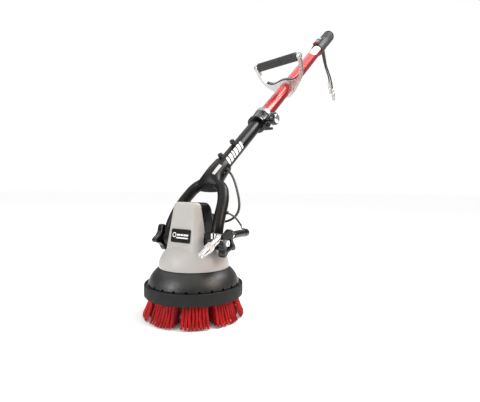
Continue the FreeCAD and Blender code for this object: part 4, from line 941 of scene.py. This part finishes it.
relief_root = on_pole(993.0, 3.0, 24.0)
relief_rows = [(0, 0), (7.2, 0)]
relief_stations = [0.25 + 45.5 * i / 120 for i in range(121)]
relief_rows += [(7.2 - 0.8 * station / 46, station) for station in relief_stations]
relief_rows += [(5.9, 46.0), (0, 46.0)]
relief = mesh_piece(
    "lead_relief",
    *turned(relief_rows, relief_root, DOWN, steps=56, shape=ribbed),
    RUBBER,
    "upper_pole",
    sharp=50,
)
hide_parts("lead_strain_relief")


def knurled(low, high, count, depth):
    """Fine lengthwise flutes between two heights."""

    def shape(radius, height, angle):
        if radius < 5.0 or not low < height < high:
            return radius
        return radius - depth * (0.5 + 0.5 * math.cos(count * angle))

    return shape


CONNECTORS = {
    "water_connector": (
        WATER_LEAD_ROUTE,
        [(0, 0), (3.4, 0), (4.0, 0.6), (4.3, 2.2), (5.9, 4.6), (6.2, 5.2), (6.2, 8.0), (6.2, 8.4),
         (6.2, 20.0), (6.2, 20.4), (5.7, 20.8), (5.7, 22.4), (6.2, 22.8), (6.2, 29.4), (5.9, 30.0),
         (5.2, 31.8), (5.2, 37.4), (4.8, 38.2), (4.0, 38.8), (4.0, 43.0), (3.5, 43.4), (3.5, 44.6),
         (4.0, 45.0), (4.0, 49.4), (3.4, 50.0), (0, 50.0)],
        knurled(8.2, 20.2, 24, 0.45),
        NICKEL,
    ),
    "power_connector": (
        POWER_LEAD_ROUTE,
        [(0, 0), (3.6, 0), (4.1, 0.5), (5.2, 2.8), (5.4, 3.4), (5.4, 6.0), (5.1, 6.4), (5.1, 7.4),
         (5.4, 7.8), (5.4, 16.0), (6.2, 17.2), (6.2, 18.0), (6.2, 18.4), (6.2, 31.6), (6.2, 32.0),
         (6.2, 33.4), (5.8, 34.2), (5.0, 35.0), (5.0, 47.0), (4.4, 48.0), (3.4, 48.0), (3.4, 44.0),
         (0, 44.0)],
        knurled(18.2, 31.8, 22, 0.5),
        NICKEL,
    ),
}
for label, (route, profile, shape, finish) in CONNECTORS.items():
    end, before = Vector(route[-1]), Vector(route[-2])
    piece = mesh_piece(
        f"{label}_body",
        *turned(profile, end, end - before, steps=96, shape=shape),
        finish,
        "upper_pole",
        sharp=30,
    )
    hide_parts(label)

for label, route in (("water", WATER_LEAD_ROUTE), ("power", POWER_LEAD_ROUTE)):
    Vector(route[0]) * MM
    length_of(line_of(route)) * MM

# ---------------------------------------------------------------- spray bracket's clip


def bevelled_box(low, high, bevel):
    """A box with every edge cut back: three points at each corner, and their convex hull."""
    centre = [(a + b) / 2 for a, b in zip(low, high)]
    reach = [(b - a) / 2 for a, b in zip(low, high)]
    hull = bmesh.new()
    for signs in product((-1, 1), repeat=3):
        for axis in range(3):
            hull.verts.new(
                [
                    centre[i] + signs[i] * (reach[i] - (0 if i == axis else bevel))
                    for i in range(3)
                ]
            )
    bmesh.ops.convex_hull(hull, input=hull.verts)
    hull.verts.ensure_lookup_table()
    hull.verts.index_update()
    verts = [tuple(v.co) for v in hull.verts]
    faces = [tuple(v.index for v in f.verts) for f in hull.faces]
    hull.free()
    return verts, faces


clip = joined(
    bevelled_box((78.8, -45.7, 177.3), (84.4, -37.0, 189.7), 0.9),
    bevelled_box((84.0, -45.3, 177.7), (87.0, -37.4, 189.3), 0.4),
    bevelled_box((86.6, -45.7, 177.3), (92.2, -37.0, 189.7), 0.9),
)
clip = mesh_piece("nozzle_clip", *clip, CLIP, "fork", sharp=30)

# ---------------------------------------------------------------- fork screws

screw_parts = []
for along in CAP_SCREWS_AT:
    screw_parts.append(
        turned(
            [(0, 14), (3, 14), (3, 17.6), (3.8, 17.6), (3.8, 22), (6.0, 22), (6.4, 22.4),
             (6.4, 29.2), (6.1, 30.1), (5.4, 30.4), (3.4, 30.4), (3.1, 30.1), (3.1, 26.5),
             (0, 26.5)],
            on_pole(along),
            TOP,
            steps=72,
            shape=lambda r, h, a: (
                r - 0.16 * (0.5 + 0.5 * math.cos(24 * a)) if r > 6.3
                else hexagonal(r, a) if r < 3.6 and h > 26 else r
            ),
        )
    )
for sign in (1, -1):
    screw_parts.append(
        turned(
            [(0, 0), (3, 0), (3, SIDE_SCREW_SEAT), (4.6, SIDE_SCREW_SEAT),
             (5.0, SIDE_SCREW_SEAT + 0.4), (5.0, 27.0), (4.4, 27.6), (2.6, 27.6), (2.4, 25.6),
             (0, 25.6)],
            on_pole(SIDE_SCREWS_AT),
            X_AXIS * sign,
            steps=48,
            shape=lambda r, h, a: hexagonal(r, a) if r < 2.7 and h > 25 else r,
        )
    )
screws = mesh_piece("fork_cap_screws", *joined(*screw_parts), DARK_STEEL, "fork", sharp=30)
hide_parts("fork_screws")

# ---------------------------------------------------------------- edges of the carried-over parts

for label, width in (
    ("loop_handle", 0.0012),
    ("clamp_collar", 0.0006),
    ("clamp_band", 0.0005),
    ("splash_band", 0.0006),
    ("nozzle_bracket", 0.0005),
    ("badge_plate", 0.0004),
):
    weld = NODES[label].modifiers.new("weld", "WELD")
    weld.merge_threshold = 0.00002
    bevel = NODES[label].modifiers.new("bevel", "BEVEL")
    bevel.width = width
    bevel.segments = 2
    bevel.limit_method = "ANGLE"
    bevel.angle_limit = math.radians(38)
    bevel.use_clamp_overlap = True

# ---------------------------------------------------------------- floor and light

stage_finish = material(
    "studio_floor", (0.98, 0.98, 0.98), (0.97, 0.97, 0.97), 0.5, grain=400, depth=0.00001,
    specular=0.0,
)
rings = [0.4, 0.8, 1.4, 2.4, 4.0, 7.0, 12.0, 20.0]
floor_verts = [(0, 0, 0)]
floor_faces = []
for ring in rings:
    floor_verts += [
        (ring * math.cos(2 * math.pi * i / 64), ring * math.sin(2 * math.pi * i / 64), 0)
        for i in range(64)
    ]
for i in range(64):
    j = (i + 1) % 64
    floor_faces.append((0, 1 + i, 1 + j))
    for n in range(len(rings) - 1):
        here, there = 1 + 64 * n, 1 + 64 * (n + 1)
        floor_faces.append((here + i, there + i, there + j, here + j))
floor_mesh = bpy.data.meshes.new("studio_floor")
floor_mesh.from_pydata(floor_verts, [], floor_faces)
floor_mesh.materials.append(stage_finish)
studio = bpy.data.objects.new("studio_floor", floor_mesh)
studio.location.z = -0.0012
scene.collection.objects.link(studio)

# The sky shows plain white, and lights the object less than it shows.
world = bpy.data.worlds.new("world")
scene.world = world
world.use_nodes = True
sky = world.node_tree
backing = sky.nodes["Background"]
backing.inputs["Color"].default_value = (1, 1, 1, 1)
backing.inputs["Strength"].default_value = 0.27
shown = sky.nodes.new("ShaderNodeBackground")
shown.inputs["Color"].default_value = (1, 1, 1, 1)
shown.inputs["Strength"].default_value = 1.0
path = sky.nodes.new("ShaderNodeLightPath")
choose = sky.nodes.new("ShaderNodeMixShader")
sky.links.new(path.outputs["Is Camera Ray"], choose.inputs["Fac"])
sky.links.new(backing.outputs["Background"], choose.inputs[1])
sky.links.new(shown.outputs["Background"], choose.inputs[2])
sky.links.new(choose.outputs["Shader"], sky.nodes["World Output"].inputs["Surface"])


def soft_light(name, spot, target, size, power, colour=(1, 1, 1)):
    data = bpy.data.lights.new(name, "AREA")
    data.shape = "RECTANGLE"
    data.size, data.size_y = size
    data.energy = power
    data.color = colour
    lamp = bpy.data.objects.new(name, data)
    lamp.location = spot
    aim = Vector(target) - Vector(spot)
    lamp.rotation_mode = "QUATERNION"
    lamp.rotation_quaternion = aim.to_track_quat("-Z", "Y")
    scene.collection.objects.link(lamp)
    return lamp


soft_light("front", (-0.7, -1.7, 1.0), (0.0, 0.1, 0.2), (0.8, 1.0), 20)
soft_light("back", (0.75, 0.95, 1.7), (0.0, 0.3, 0.4), (0.5, 0.8), 22)
soft_light("warm", (1.35, 0.15, 1.15), (0.0, 0.0, 0.12), (0.5, 0.7), 12, (1.0, 0.80, 0.66))
overhead = bpy.data.lights.new("overhead", "SUN")
overhead.energy = 2.3
overhead.angle = math.radians(110)
lamp = bpy.data.objects.new("overhead", overhead)
lamp.location = (0, 0, 3)
scene.collection.objects.link(lamp)
